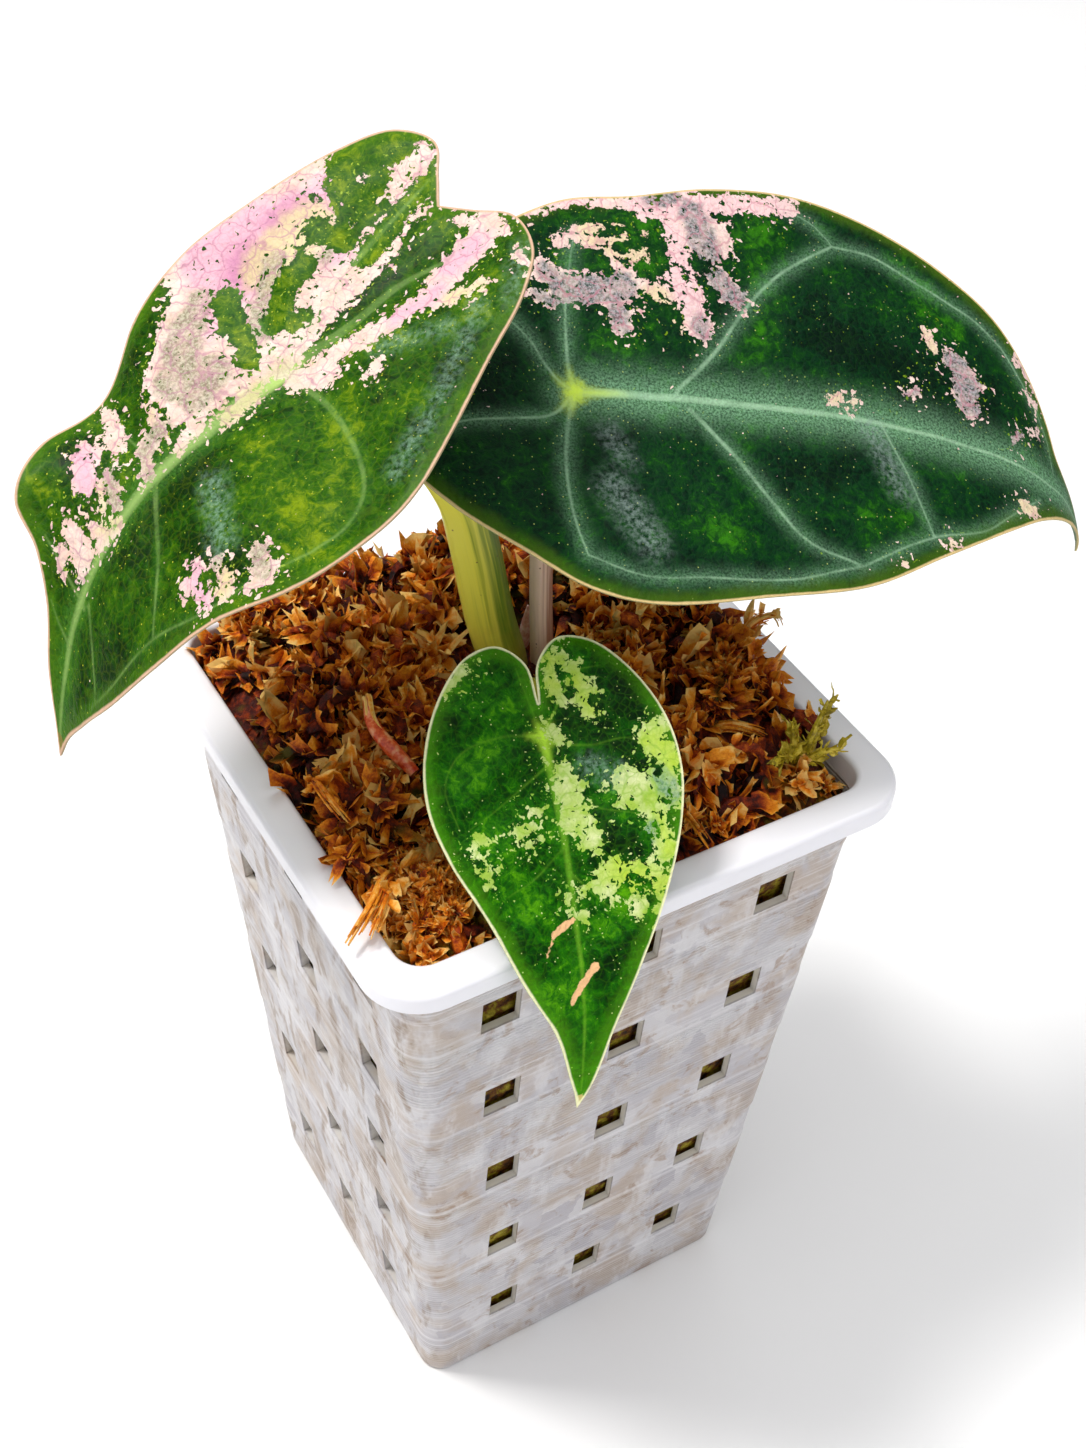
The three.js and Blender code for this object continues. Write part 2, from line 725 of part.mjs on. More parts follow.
const pottedPlant = new THREE.Group();
pottedPlant.add(mesh('net_pot', geometryOf(netPot()), 0xe9e8ee, 0.35));
pottedPlant.add(mesh('sphagnum_moss', geometryOf(sphagnumMoss()), 0x9a5a1c, 0.95));
pottedPlant.add(mesh('green_moss_sprig', geometryOf(mossSprig()), 0xb6b23a, 0.9));
pottedPlant.add(mesh('corm_with_roots', geometryOf(cormWithRoots()), 0x8a6a48, 0.85));
pottedPlant.add(mesh('young_shoot', stalk(SHOOT_ROUTE, SHOOT_RADII, 8, 5).geometry(), 0xe3b8a8, 0.6));
for (const item of PETIOLES) {
  pottedPlant.add(mesh(`petiole_${item.leaf.name}`, petiole(item).geometry(), item.color, 0.5));
}
pottedPlant.add(mesh('blade_left_leaf', blade(LEFT_LEAF).geometry(), 0x3f7a1e, 0.35));
pottedPlant.add(mesh('blade_right_leaf', blade(RIGHT_LEAF).geometry(), 0x17402f, 0.45));
pottedPlant.add(mesh('blade_front_leaf', blade(FRONT_LEAF).geometry(), 0x2f8a1c, 0.35));

export default pottedPlant;
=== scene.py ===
"""Fine geometry, materials, light and camera for the potted variegated elephant ear.

Lengths are in millimetres and turn into metres where a mesh is made. The origin is the
centre of the pot's underside, and +Z is up.
"""

import math
import random

import bpy
import numpy as np
from mathutils import Matrix, Vector, noise
from mathutils.geometry import delaunay_2d_cdt


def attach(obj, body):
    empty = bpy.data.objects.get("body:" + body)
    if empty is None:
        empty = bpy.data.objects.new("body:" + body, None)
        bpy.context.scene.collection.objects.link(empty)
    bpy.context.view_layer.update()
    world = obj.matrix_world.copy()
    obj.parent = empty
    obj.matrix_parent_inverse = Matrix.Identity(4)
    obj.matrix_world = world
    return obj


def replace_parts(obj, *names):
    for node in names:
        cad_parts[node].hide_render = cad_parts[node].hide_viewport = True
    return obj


MM = 0.001

# Camera of the photograph
CAMERA_PLACE = (-91.2495, -150.7206, 266.5215)
CAMERA_RIGHT = (0.8632363, -0.50337833, 0.03785958)
CAMERA_UP = (0.32401191, 0.61002883, 0.72310518)
CAMERA_FORWARD = (0.38709091, 0.61194369, -0.68969961)
LENS = 49.397

# Lamps: name, place and size in metres, watts, colour
LAMPS = (
    ("overhead", (0.0, 0.1, 1.3), 2.2, 19, (1, 0.99, 0.98)),
    ("key", (-0.35, 0.22, 1.0), 0.2, 6.5, (1, 0.98, 0.95)),
    ("front", (0.1, -0.9, 0.3), 0.6, 1.7, (0.97, 0.98, 1)),
    ("left", (-0.9, -0.1, 0.3), 0.6, 1.0, (1, 1, 1)),
)

# Pot
POT_HEIGHT = 101.5
RIM_HALF = 35
RIM_RADIUS = 7
WALL_TOP_HALF = 31.8
WALL_BASE_HALF = 24.7
WALL_TOP_RADIUS = 4.6
WALL_BASE_RADIUS = 3.4
WALL_THICKNESS = 1.3
FLOOR_THICKNESS = 1.4
FLANGE_THICKNESS = 1.2
SKIRT_HEIGHT = 2.9
SKIRT_THICKNESS = 1
HOLE_ROWS = 5
LOWEST_ROW = 13.4
ROW_PITCH = 18.6
HOLE_HEIGHT = 5.8
HOLE_WIDTH_SHARE = 0.165
HOLE_TO_CORNER = 12
BAND_HALF_HEIGHT = 3.7
BAND_DEPTH = 0.14
GROOVE_PITCH = 0.62
DRAIN_HOLE = 5
DRAIN_PITCH = 13

# Moss surface
MOSS_CROWN = 3.5
MOSS_BACK_SLOPE = 0.17
MOSS_RIGHT_DIP = 0.02
MOSS_RIGHT_DIP_FROM = 22
MOSS_LUMPS = 0.8
MOSS_SHOULDER = 0.78
MOSS_EDGE_SINK = 0.7
MOSS_EDGE_DROP = 1.5
MOSS_INSET = 0.42
BURIED_HEIGHTS = (97.0, 99.5)
MOSS_LOW_CLUMPS = 80
MOSS_HIGH_CLUMPS = 46
MOSS_FLAKES = 90
MOSS_TUFTS = 50
CURLED_TUFTS = 24
DEPTH_SHADE = 0.17

# Blade meshes
GRID = 0.4
QUILT_REACH = 3.2
MARGIN_HALF_THICKNESS = 0.13
BLADE_HALF_THICKNESS = 0.26

# A blade is drawn flat: s runs along the midrib from the heart, where the petiole joins,
# and t across it, to the left of the heading. A vein is its points and the half-widths at
# its two ends. A patch is a stroke: both ends and the half-width.
LEFT_LEAF = {
    "name": "left_leaf",
    "heart": (-23.5, 9, 151.5),
    "heading": 183,
    "pitch": 29.5,
    "roll": -10,
    "curl": 0.0066,
    "droops": [(22, 0.0153)],
    "midrib": [(0, 0), (10, -1.2), (20, -1.4), (30, 0.9), (38, 4.5), (46, 9.3)],
    "quilt": 0.5,
    "fold": 0.12,
    "cup": 0,
    "ruffles": [(-1, 17, 7, -3), (-1, 35, 10, 7)],
    "notch": (-23.1, -2.7),
    "tip": (46.8, -0.6),
    "left": [
        (-25.2, 0.5), (-27.6, 4.6), (-26.5, 9.6), (-22, 13.6), (-15, 16.9), (-8, 20.4),
        (-1, 23.3), (8, 24.4), (14.5, 23), (22, 18.7), (30, 14.4), (36, 9.8), (41, 4.6),
        (44.4, 1),
    ],
    "right": [
        (-25.4, -5.6), (-27.6, -8.8), (-25.4, -13.3), (-19.5, -16.1), (-9.5, -18.2),
        (0, -18.9), (8, -16.6), (17, -12.6), (24, -13.1), (29, -11), (31.3, -6.9), (35, -4),
        (40.5, -2.6), (44.2, -1.3),
    ],
    "veins": [
        ([(0, 0), (18, 0), (46, -0.4)], 1.25, 0.3),
        ([(0, -0.1), (-6.4, -2.4), (-11.9, -4.2), (-18.4, -5.1), (-24.3, -5.8)], 0.7, 0.2),
        ([(0, -0.1), (-7.7, 1.3), (-14.4, 1.5), (-19.6, 3.1), (-23.8, 2.7)], 0.8, 0.2),
        ([(0, 1.5), (-0.5, 9.1), (2.5, 18.9), (6.4, 21.4), (10.4, 21.2)], 0.45, 0.22),
        ([(10.4, 21.2), (15.7, 19.4), (22, 16.9), (28, 12.6), (35, 8.9), (38.7, 5.9)], 0.22, 0.2),
        ([(17.5, 0.1), (20.1, 3.8), (22.6, 7.4), (25.3, 10.2), (28, 12.6)], 0.4, 0.2),
        ([(31.7, 1.1), (34.5, 3.8), (37.8, 6.2)], 0.3, 0.18),
        ([(32.4, 0.6), (31.6, -1.9), (30.3, -5.1), (29.7, -6.7)], 0.3, 0.15),
        ([(36.8, 0), (35.6, -2.1), (34.2, -3.7)], 0.25, 0.15),
        ([(0, -1.5), (-1, -5.6), (-2.1, -11), (1.1, -16.6)], 0.4, 0.12),
        ([(16.5, -0.3), (16.9, -5.9), (17.6, -10.5)], 0.25, 0.1),
    ],
    "patches": {
        "pale": [
            (-0.7, -15.5, -16.2, -12.9, 4.2), (3.2, -6.6, -14, -7.6, 6.3),
            (9.1, -6.5, -0.4, -2.6, 3.2), (-14, -7.6, -24.5, -9.1, 2.4),
            (-2.6, -0.9, -22.2, -3.9, 0.7), (10.3, -7.8, 2.4, -14, 2.1),
            (11.2, -3.7, 7.3, -2.6, 1.4), (-2.3, 2.3, -10.8, 4.7, 1.2),
            (-10.8, 4.7, -16.9, 5.6, 1.1), (-17.2, 5.1, -22.7, 4.2, 1.8),
            (-22.7, 4.2, -25.3, 3, 1.7), (-0.2, 2, -2.8, 4.1, 1.4), (-17, 7.7, -19.8, 9.3, 0.7),
            (-15.3, 6.7, -16.7, 7.7, 0.7), (-5.7, 8.4, -7.5, 7.7, 0.5),
            (-25.8, 4.5, -25.9, 5.8, 0.6), (-23.7, 0.5, -23.9, 1.6, 0.6),
            (-24.7, 9.5, -24.5, 10.6, 0.5), (7.6, 0.2, 3.9, 0, 1), (21.9, -8.1, 23.3, -5.6, 1.3),
            (20.9, -9.8, 21.2, -8.5, 0.5), (16.9, -10.7, 18.2, -6.3, 0.9),
            (20.6, -7.4, 18.3, -8.4, 0.7), (16.3, -3.5, 13.7, -4, 1.1), (16.8, -3, 18, -0.7, 0.7),
            (13, -6.1, 13.8, -4, 0.5), (20.7, -4.5, 22.4, -1.7, 0.7),
            (22.4, -4.1, 23.5, -2.7, 0.3), (27.6, -4, 28.8, -1.7, 1.4),
            (25.8, -2.2, 25.7, -0.2, 0.7), (27.8, -5.8, 28.4, -4.2, 0.4),
            (29.5, -1.9, 30.1, -1.4, 0.7), (29.7, -4.3, 30.6, -3.8, 0.6),
            (24.8, -1.5, 23.2, -0.4, 0.4), (26.2, -1, 24.3, 0.3, 0.6), (13.4, -0.7, 9.7, -1.6, 0.9),
            (19.8, 12.9, 21.3, 16.2, 1.1), (21.5, 13, 21.7, 13.7, 0.9),
            (19.7, 16.7, 18.9, 17.5, 0.8), (17.9, 16.3, 17.9, 16.7, 0.4),
            (19.1, 15.1, 19.3, 15.6, 0.5), (18.1, 14.3, 17.6, 14.4, 0.7),
            (14.1, 17.4, 15.2, 19.9, 1.2), (17.1, 19.4, 16.3, 19.9, 0.5),
        ],
        "green": [
            (-0.4, -11.2, 0.9, -8.4, 1.6), (0.3, -8.3, 2.2, -3.6, 1.2),
            (-2.5, -5.3, -5.7, -7, 1.5), (-5.9, -7.6, -8.7, -7.7, 1.4), (-3.6, -3.7, -5.1, -3.6, 1),
            (-12.2, -10, -13.5, -7.1, 1.5), (-15.6, -11.1, -14.2, -6.6, 0.7),
            (-18.1, -13, -17, -8.3, 1.5), (-19.1, -13.9, -24, -11.3, 2),
            (-24.2, -12.7, -26.1, -11.6, 1.1), (-16.4, -13.8, -16.5, -12.9, 0.6),
            (-17.5, -9, -21.1, -10, 1), (-14, -3.9, -18.7, -4.8, 1.3),
            (-19.2, -5.3, -23.9, -5.6, 1.1), (-14, -7.1, -19.3, -7.1, 0.7),
            (-1.3, -5, -2.5, -5.7, 0.3), (-14.2, -13.5, -14.2, -13.2, 0.3),
            (-9.2, -9.4, -9.2, -8.3, 0.6), (-22.3, -13.2, -25.9, -11, 1.2),
            (-17.4, -9.1, -19.9, -8.9, 0.9), (19.8, 14.1, 20.6, 15.5, 0.4),
            (19.1, 14.5, 19.5, 15.8, 0.3),
        ],
        "pink": [
            (-2.2, -15.6, -8, -14.6, 3.7), (-2.9, -12.3, -6, -12.7, 2.7),
            (-8.9, -14.3, -15.6, -12.5, 2.2), (1.4, -13, 3.1, -9.4, 1.2),
            (21.9, -8.1, 23.3, -5.6, 1.4), (-11, -6.4, -13.1, -6.4, 1), (-12, 4.8, -16.7, 5.8, 1.2),
            (-19.2, 4.2, -22.8, 4.1, 1.6), (20.5, 12.8, 21.4, 15.7, 1.1),
            (-0.8, -10.7, -4.2, -9.7, 1.2),
        ],
        "magenta": [
            (-3, -12.5, -5.7, -12.7, 1.6), (-9.5, -14.1, -12.6, -13.7, 1.2),
            (-3.8, -13.9, -5.8, -13.9, 1),
        ],
        "grey": [
            (9.4, -6.9, 4.5, -11.1, 2.1), (3.3, -11.6, 1.6, -13.3, 1.3), (8.8, -4, 5.5, -5.1, 1.9),
            (-0.4, -5.9, -6.5, -10.1, 1.5), (16.3, -3.5, 13.7, -4, 1.1), (16.8, -3, 18, -0.7, 0.7),
            (20.7, -4.5, 22.4, -1.7, 0.9), (18.1, 14.3, 17.6, 14.4, 0.8), (13.9, 17.1, 15.2, 19, 1),
            (-10.6, -6.8, -11.8, -7.4, 0.6),
        ],
        "cream": [
            (-5.9, -10.8, -11.9, -11, 2.9), (7.6, 0.2, 3.9, 0, 1.3), (-17, 7.7, -19.8, 9.3, 0.8),
            (22.4, -4.1, 23.5, -2.7, 0.5), (24.8, -1.5, 23.2, -0.4, 0.7),
            (19.4, 17.1, 17.8, 16.3, 0.9), (13.6, -6.4, 13.8, -4, 0.4),
        ],
        "scar": [(45.4, -0.5, 47, -0.6, 0.8)],
        "painted_sheen": [
            (-8.9, 16.5, -18.1, 11.2, 0.6), (-1.1, 19.7, -6.8, 17.6, 0.7),
            (13.2, 6.3, 16.3, 13.1, 1.1), (-25.7, 9.1, -21.2, 13.2, 0.5),
            (-8.3, 6.3, -14.6, 10.5, 0.5),
        ],
        "painted_light": [
            (-1.9, 8.7, 6.3, 18.4, 2.2), (7.5, 6.5, 9, 19, 2.3), (11.7, 19.3, 9.1, 23.9, 1.2),
            (-3.7, 13.7, -7.5, 14.8, 1.2), (-17.5, 7.4, -18.1, 11.2, 1.2),
            (-21, -1.7, -22.4, 2.7, 0.9), (9.2, -18.2, 5.5, -17.1, 1.3),
            (26.8, -11.1, 26.9, -8.2, 0.9), (-22.2, -8.2, -24.8, -8, 1),
            (-7.2, 2.1, -10, 7.6, 1.2), (18.9, 19, 14.9, 22.2, 0.8),
        ],
        "painted_shade": [
            (23.4, 4.5, 12.7, 2.4, 2.5), (35.4, 3.9, 34.3, 10.4, 2.5),
            (-15.4, 13.4, -5.4, 17.7, 1.4), (-13.4, 0.2, -19.5, 2, 1.1),
            (12.4, -12.3, 2.9, -17, 0.6), (-11.2, 0.4, -6.8, 0.7, 0.8),
            (24.2, -9.6, 20.7, -8.8, 0.6), (18.3, 9.7, 17.5, 15.9, 1),
        ],
    },
}

RIGHT_LEAF = {
    "name": "right_leaf",
    "heart": (6.5, 0.8, 144.5),
    "heading": -20.7,
    "pitch": 7.2,
    "roll": 28,
    "curl": 0.0032,
    "droops": [(50, 0.03), (60, 0.05)],
    "midrib": [(0, 0), (20, -0.4), (34, -1), (48, -3), (58, -5.6), (70, -10.5)],
    "quilt": 0.34,
    "fold": 0.08,
    "cup": 0.0008,
    "ruffles": [],
    "notch": (-14, 0),
    "tip": (70, 0),
    "left": [
        (-17.5, 1.6), (-20.2, 5.4), (-19.6, 10.4), (-15, 15.6), (-8, 19.4), (0, 23.2),
        (8, 24.4), (17, 26.4), (27, 27), (37, 25.2), (46, 22), (53.2, 17.8), (57.4, 13),
        (59.9, 8.2), (61.4, 4.4), (65.4, 1.5),
    ],
    "right": [
        (-17.5, -1.6), (-20.4, -5), (-19.4, -9), (-14.5, -14.2), (-7.5, -19), (0, -23.6),
        (7, -25), (20, -23.3), (31.6, -21), (41.7, -15.5), (50.7, -9.9), (57, -5.6), (61.5, -3),
        (65.4, -1.4),
    ],
    "veins": [
        ([(0, 0), (30, 0), (68, 0)], 0.6, 0.15),
        ([(0, 0), (-0.6, 2.6), (-0.6, 6.8), (-0.4, 10.9), (1, 19)], 0.3, 0.1),
        ([(0, 0), (-2.7, -2.8), (-7.6, -3.6), (-12.3, -4), (-17, -6)], 0.3, 0.1),
        ([(0, 0), (-1.4, 0.8), (-3.2, 3.1), (-4.7, 5.9), (-9, 10)], 0.25, 0.1),
        ([(0, 0), (-1.1, -3.8), (-1.8, -9.1), (-1.6, -14.4), (-0.4, -19.7)], 0.35, 0.15),
        ([(-0.4, -19.7), (5.5, -21.8), (13.3, -21.6), (22.3, -21.1), (31, -18.7)], 0.15, 0.2),
        ([(31, -18.7), (40.6, -13.4), (47.4, -10.9), (51.4, -7.7), (56.8, -3.1)], 0.2, 0.15),
        ([(11.5, 0.8), (16.5, 6.1), (20.6, 11.9), (25.3, 16.8), (32.1, 21.3)], 0.32, 0.22),
        ([(32.1, 21.3), (37.4, 21.1), (43.4, 19), (49.5, 17), (53.5, 14.6)], 0.22, 0.2),
        ([(53.5, 14.6), (55.1, 12.6), (57.4, 9.8), (59.4, 6.1), (60, 2)], 0.2, 0.12),
        ([(12.8, -1.2), (17.2, -6.2), (21.1, -11.8), (24.6, -16.3), (31, -18.7)], 0.35, 0.2),
        ([(36.1, 0), (38.3, -5.4), (39.6, -10.2), (40.6, -13.4)], 0.2, 0.15),
        ([(31.8, 21.8), (29.9, 23.7), (26.7, 25.2)], 0.15, 0.1),
    ],
    "patches": {
        "pale": [
            (3, 20, 9.8, 18.5, 1.6), (-2.5, 14.4, 8.3, 13.4, 1),
            (0.3, 22.6, 9, 23.2, 1), (9, 23.4, 19.9, 25.2, 1.7), (19.9, 25.1, 26.7, 25.3, 1.2),
            (10.6, 21.1, 16.1, 19.9, 2.9), (11.5, 18.1, 14, 12.4, 1.7),
            (15.9, 20.9, 17.4, 19.8, 2.2), (14, 12.4, 14.4, 9.2, 1.4), (1.5, 19, 5.3, 16.8, 1.2),
            (-0.6, 17.9, 2.1, 20.3, 0.8), (-2.5, 14.2, 3.7, 14.1, 1.5), (5.2, 15.2, 10, 12.7, 1),
            (6.3, 17.5, 8.5, 16.3, 1), (9.4, 13.5, 11.9, 12, 0.8), (6.1, 8.8, 7.3, 10.1, 0.5),
            (-0.4, 12.4, 5.9, 12.9, 1.8), (4.9, 11.3, 5.7, 8.2, 1.1), (15, 9.6, 15.2, 8.9, 1.3),
            (17.1, 15, 19.8, 12.9, 1.2), (-3.8, 11.2, -1.9, 10.7, 0.5), (46.5, 10, 48.3, 8, 1.5),
            (47.5, 7.8, 47.8, 5.4, 1.5), (39.7, 4.3, 41.1, 5.1, 0.4), (54.8, 4.2, 53.7, 2.8, 0.5),
            (57.9, 6.2, 56.7, 5.1, 0.3), (56.7, 14.2, 60.3, 11.2, 1.2), (56.7, 10.7, 57.7, 9.6, 0.4),
            (43.2, 12.6, 43.9, 10.9, 0.6), (30.1, 1.9, 31.3, 2.3, 0.4), (32.2, 1.2, 33.2, 2.2, 0.3),
            (53.7, -5.6, 55, -5.3, 0.9), (42.5, -13.6, 42.7, -13.8, 0.4),
            (36.1, -17.1, 36, -17.6, 0.3), (-4, 21.5, -0.7, 22.4, 0.6),
        ],
        "green": [
            (-0.7, 15.5, 3.8, 15.9, 1.1), (4.1, 19.2, 10.6, 21.1, 0.6), (-2.1, 20, 1.4, 21.5, 1),
            (1.7, 21.4, 7.5, 21.4, 1), (10.5, 19.5, 10.8, 16.1, 1.1), (2.5, 16.6, 4.5, 14.7, 0.8),
            (5.9, 17.5, 7.9, 18.2, 0.7), (8.5, 15.8, 8.9, 14.6, 0.8), (7.6, 19.9, 8.6, 18.3, 0.7),
            (13.1, 15.5, 13.5, 14.6, 0.4), (9.6, 15.2, 9.7, 14.2, 0.4), (14.9, 17.5, 15.1, 16.3, 0.5),
            (16.4, 26, 23.8, 27.1, 0.4), (10.3, 24.7, 11.8, 25.3, 0.3), (4, 15.4, 4.2, 14.7, 0.4),
        ],
        "pink": [
            (9, 23.2, 26.1, 25.2, 1.8), (11.6, 19.3, 13.9, 11, 2.3), (15, 9.6, 15.2, 8.9, 1.3),
            (0.9, 14.9, 3.8, 14.6, 0.9), (-0.3, 22.7, 4.3, 22.8, 0.8),
        ],
        "magenta": [],
        "grey": [
            (-0.4, 11.9, 5.9, 12.9, 1.9), (4.9, 11.3, 5.7, 8, 1.1), (-2.5, 14.2, -0.9, 12.1, 1),
            (15, 9.2, 15.2, 8.7, 1.1), (17.1, 15, 19.8, 13.1, 1.4), (14.9, 22.9, 16.4, 18, 1.7),
            (10.3, 24.2, 12.9, 24.8, 1.1), (-3.8, 11.2, -1.9, 10.7, 0.6), (46.5, 10, 48.3, 8, 1.6),
            (47.5, 7.8, 47.8, 5.4, 1.7), (39.7, 4.3, 41.1, 5.1, 0.4), (54.8, 4.2, 53.7, 2.8, 0.6),
        ],
        "cream": [
            (4.1, 19.8, 8.6, 17.8, 2.6), (43.2, 12.6, 43.9, 10.9, 0.8), (30.1, 1.9, 31.3, 2.3, 0.5),
            (32.2, 1.2, 33.2, 2.2, 0.4), (53.7, -5.6, 55, -5.3, 1.1), (42.5, -13.6, 42.7, -13.8, 0.5),
            (36.1, -17.1, 36, -17.6, 0.4), (9.9, 11.8, 11.5, 7.1, 1.8), (13.4, 4.9, 13.6, 4.4, 0.5),
        ],
        "scar": [],
        "painted_sheen": [
            (3, -11.6, 6.7, -18.1, 1.6), (3.2, -4.5, 4.6, -8.3, 0.9), (34.8, -1.3, 37.2, -8.2, 1.4),
        ],
        "painted_light": [
            (22.1, 21.9, 23.4, 17.1, 3.2), (25.6, 13.6, 20.7, 6.9, 1.6),
            (32.1, -12.9, 36.6, -11.4, 1.7), (13.6, -14.7, 16, -18.1, 1.9),
            (-10.8, -18.1, -3.5, -20.5, 1.1), (6, 5.4, 3.2, 5.8, 1.5),
            (44.1, 14.3, 46.6, 13.8, 1.9), (8.1, 11.6, 9, 8, 1.2), (-2.7, -10.8, -1, -16.7, 0.9),
            (40.9, 20.5, 44.5, 17.7, 1.6),
        ],
        "painted_shade": [
            (-10.6, -1.5, -4.6, 6.5, 1.9), (34.5, 8.8, 48.1, 3.6, 3.3),
            (27.2, 11.3, 36.8, 6.8, 2.6), (2.2, -5.8, 7.4, -4.2, 1.1),
            (24.8, -8.8, 31.2, -6.7, 1.7), (9.6, -19.7, 23.1, -20.5, 1),
        ],
    },
}

FRONT_LEAF = {
    "name": "front_leaf",
    "heart": (-8.7, -20.3, 117.7),
    "heading": -105.3,
    "pitch": 36,
    "roll": -1.7,
    "curl": 0.0056,
    "droops": [],
    "midrib": [(0, 0), (20, 0), (30, -0.6), (38, -2.2), (40, -3)],
    "quilt": 0.4,
    "fold": 0.1,
    "cup": 0,
    "ruffles": [],
    "notch": (-3.6, 0.2),
    "tip": (39.8, 0),
    "left": [
        (-8, 0.9), (-10.5, 3.5), (-9.7, 7.2), (-5.8, 11), (0, 13.8), (5.9, 14.4), (11.7, 13.2),
        (18.5, 10.5), (26.3, 6.4), (32, 3.4), (37, 1.5),
    ],
    "right": [
        (-8, -0.4), (-10.4, -3.2), (-9.7, -6.8), (-5.9, -10.5), (0, -13.3), (5.9, -14.1),
        (11.7, -12.8), (18.5, -9.7), (26.3, -6.4), (32, -3.1), (37, -1.2),
    ],
    "veins": [
        ([(0, 0), (10, 0.2), (22, 0), (38, 0)], 0.6, 0.15),
        ([(-0.5, -0.2), (-4.1, -0.9), (-7.7, -1.6)], 0.25, 0.1),
        ([(-0.8, 0.6), (-3.6, 2.6), (-6.4, 4.8), (-6.7, 7.7)], 0.25, 0.1),
        ([(0, -0.4), (-0.5, -4.7), (0.8, -9.5), (4.2, -11.8), (8.8, -11)], 0.25, 0.1),
        ([(3.2, 0), (5.4, -3.6), (7.6, -7.4), (8.8, -9.9)], 0.22, 0.08),
        ([(12.4, -0.2), (15.1, -3.8), (16.7, -7.4), (18, -8.7)], 0.2, 0.08),
        ([(0.8, 0.4), (1.8, 4.9), (1.8, 9.4), (5, 12)], 0.25, 0.08),
        ([(6, 0.3), (8.7, 4.7), (10.3, 9.4), (11.9, 11)], 0.2, 0.08),
        ([(14.6, 0), (18.4, 3), (21.1, 5.9), (22.2, 7.4)], 0.2, 0.08),
    ],
    "patches": {
        "pale": [
            (4, 1.4, 10.5, 1, 0.8), (6.2, 1.4, 11.7, 3, 1.3), (3.7, 0.8, 5.9, 3, 0.6),
            (7.4, 2.2, 8.8, 5.2, 0.5), (8, 5.9, 8.2, 10.3, 1.3), (6.2, 7.9, 7.9, 11.5, 1.3),
            (8.7, 10.2, 14.3, 10.9, 1.3), (4.8, 12.7, 9.3, 13.2, 0.7), (3, 11.9, 4.9, 13.4, 1.1),
            (5.1, 8.2, 6.1, 9.1, 0.6), (15.5, 4.8, 17.4, 9.8, 1.3), (16.7, 5.5, 19.7, 7.2, 1),
            (16.8, 3.2, 18.1, 4.4, 0.9), (15.2, 9.6, 20.8, 9.5, 0.7), (1.7, 11.1, 1.2, 12.8, 1),
            (-8.2, 2.2, -4.8, 2, 0.7), (-8, 3.5, -6.4, 4.8, 0.6), (-5.5, 4.7, -4.2, 6.1, 0.7),
            (-4.8, 2.3, -3.6, 2.8, 0.6), (-3.3, 4.8, -1.8, 5.6, 0.7), (-0.8, 0.7, 0.7, 1.8, 0.6),
            (-10.6, 1.2, -10.7, 4, 0.4), (10, -9.2, 10.3, -8.4, 0.4), (11.6, -10, 13.8, -8.8, 0.5),
            (13.8, -8.8, 14.7, -8.7, 0.2), (10.1, -4.8, 9.3, -3.2, 0.6),
            (10.8, -4.1, 11.4, -3.9, 0.4), (11.1, -3, 10.8, -2.4, 0.3), (8.2, -3, 8.1, -1.9, 0.3),
            (-6.4, -9.8, -8.4, -7.7, 0.4), (-8.5, -7, -8.1, -6.9, 0.3), (17.3, -0.4, 18.9, -0.4, 0.2),
            (16.9, 0.7, 17.8, 1.4, 0.3), (18.5, 0.5, 20.2, 1, 0.3),
        ],
        "green": [
            (7.8, 4.8, 7.8, 6.2, 0.8), (16.4, 6.8, 17, 7.2, 0.4), (17.1, 8.2, 18.3, 8.5, 0.4),
            (17.8, 5.5, 18.3, 5.9, 0.5), (9.1, 4.6, 10.9, 8.7, 0.8), (12.3, 8.4, 13.5, 9.1, 0.5),
            (11.5, 10.3, 12.6, 10.4, 0.3),
        ],
        "pink": [],
        "magenta": [],
        "grey": [(6.3, 11.8, 8.6, 12.7, 1.1), (11.4, 9.9, 13, 9.4, 0.7)],
        "cream": [
            (2.4, 12, 4.9, 13.4, 1.3), (15.8, 5.6, 17.9, 9.7, 1.7), (11.1, 10.9, 14.4, 11.4, 0.9),
            (-8.2, 2.2, -4.8, 2, 0.8), (-5.5, 4.7, -1.8, 5.6, 0.8),
        ],
        "scar": [
            (20, -0.3, 21.2, -2.5, 0.35), (21.2, -2.5, 23.4, -3.8, 0.15), (25.2, 1.6, 26.5, 0.3, 0.4),
            (26.5, 0.3, 28.7, -1.3, 0.35), (39, 0, 40, 0, 0.6),
        ],
        "painted_sheen": [(4, 4.4, 5.4, 6.8, 0.9)],
        "painted_light": [
            (3.4, -10, -3.3, -3.1, 2), (10.2, -7.9, 17.1, -4.7, 1.5), (21, 2.6, 19.5, 6.1, 1.5),
            (27.1, -2.6, 30, -1.1, 1.9), (-5, -7.3, -6.9, -4.6, 0.9),
        ],
        "painted_shade": [
            (-3.6, 9.3, 1.3, 11.7, 1.9), (9.1, 4.6, 13.5, 6, 1), (-1.7, -3.2, 4, -1.7, 1.2),
            (22.3, 6.8, 24.9, 3.2, 0.9), (-3.6, 2.6, -0.9, 5.4, 0.7), (0, 6.4, 4.6, 9.2, 1.6),
            (11.6, 5, 14.6, 8.2, 1.3),
        ],
    },
}

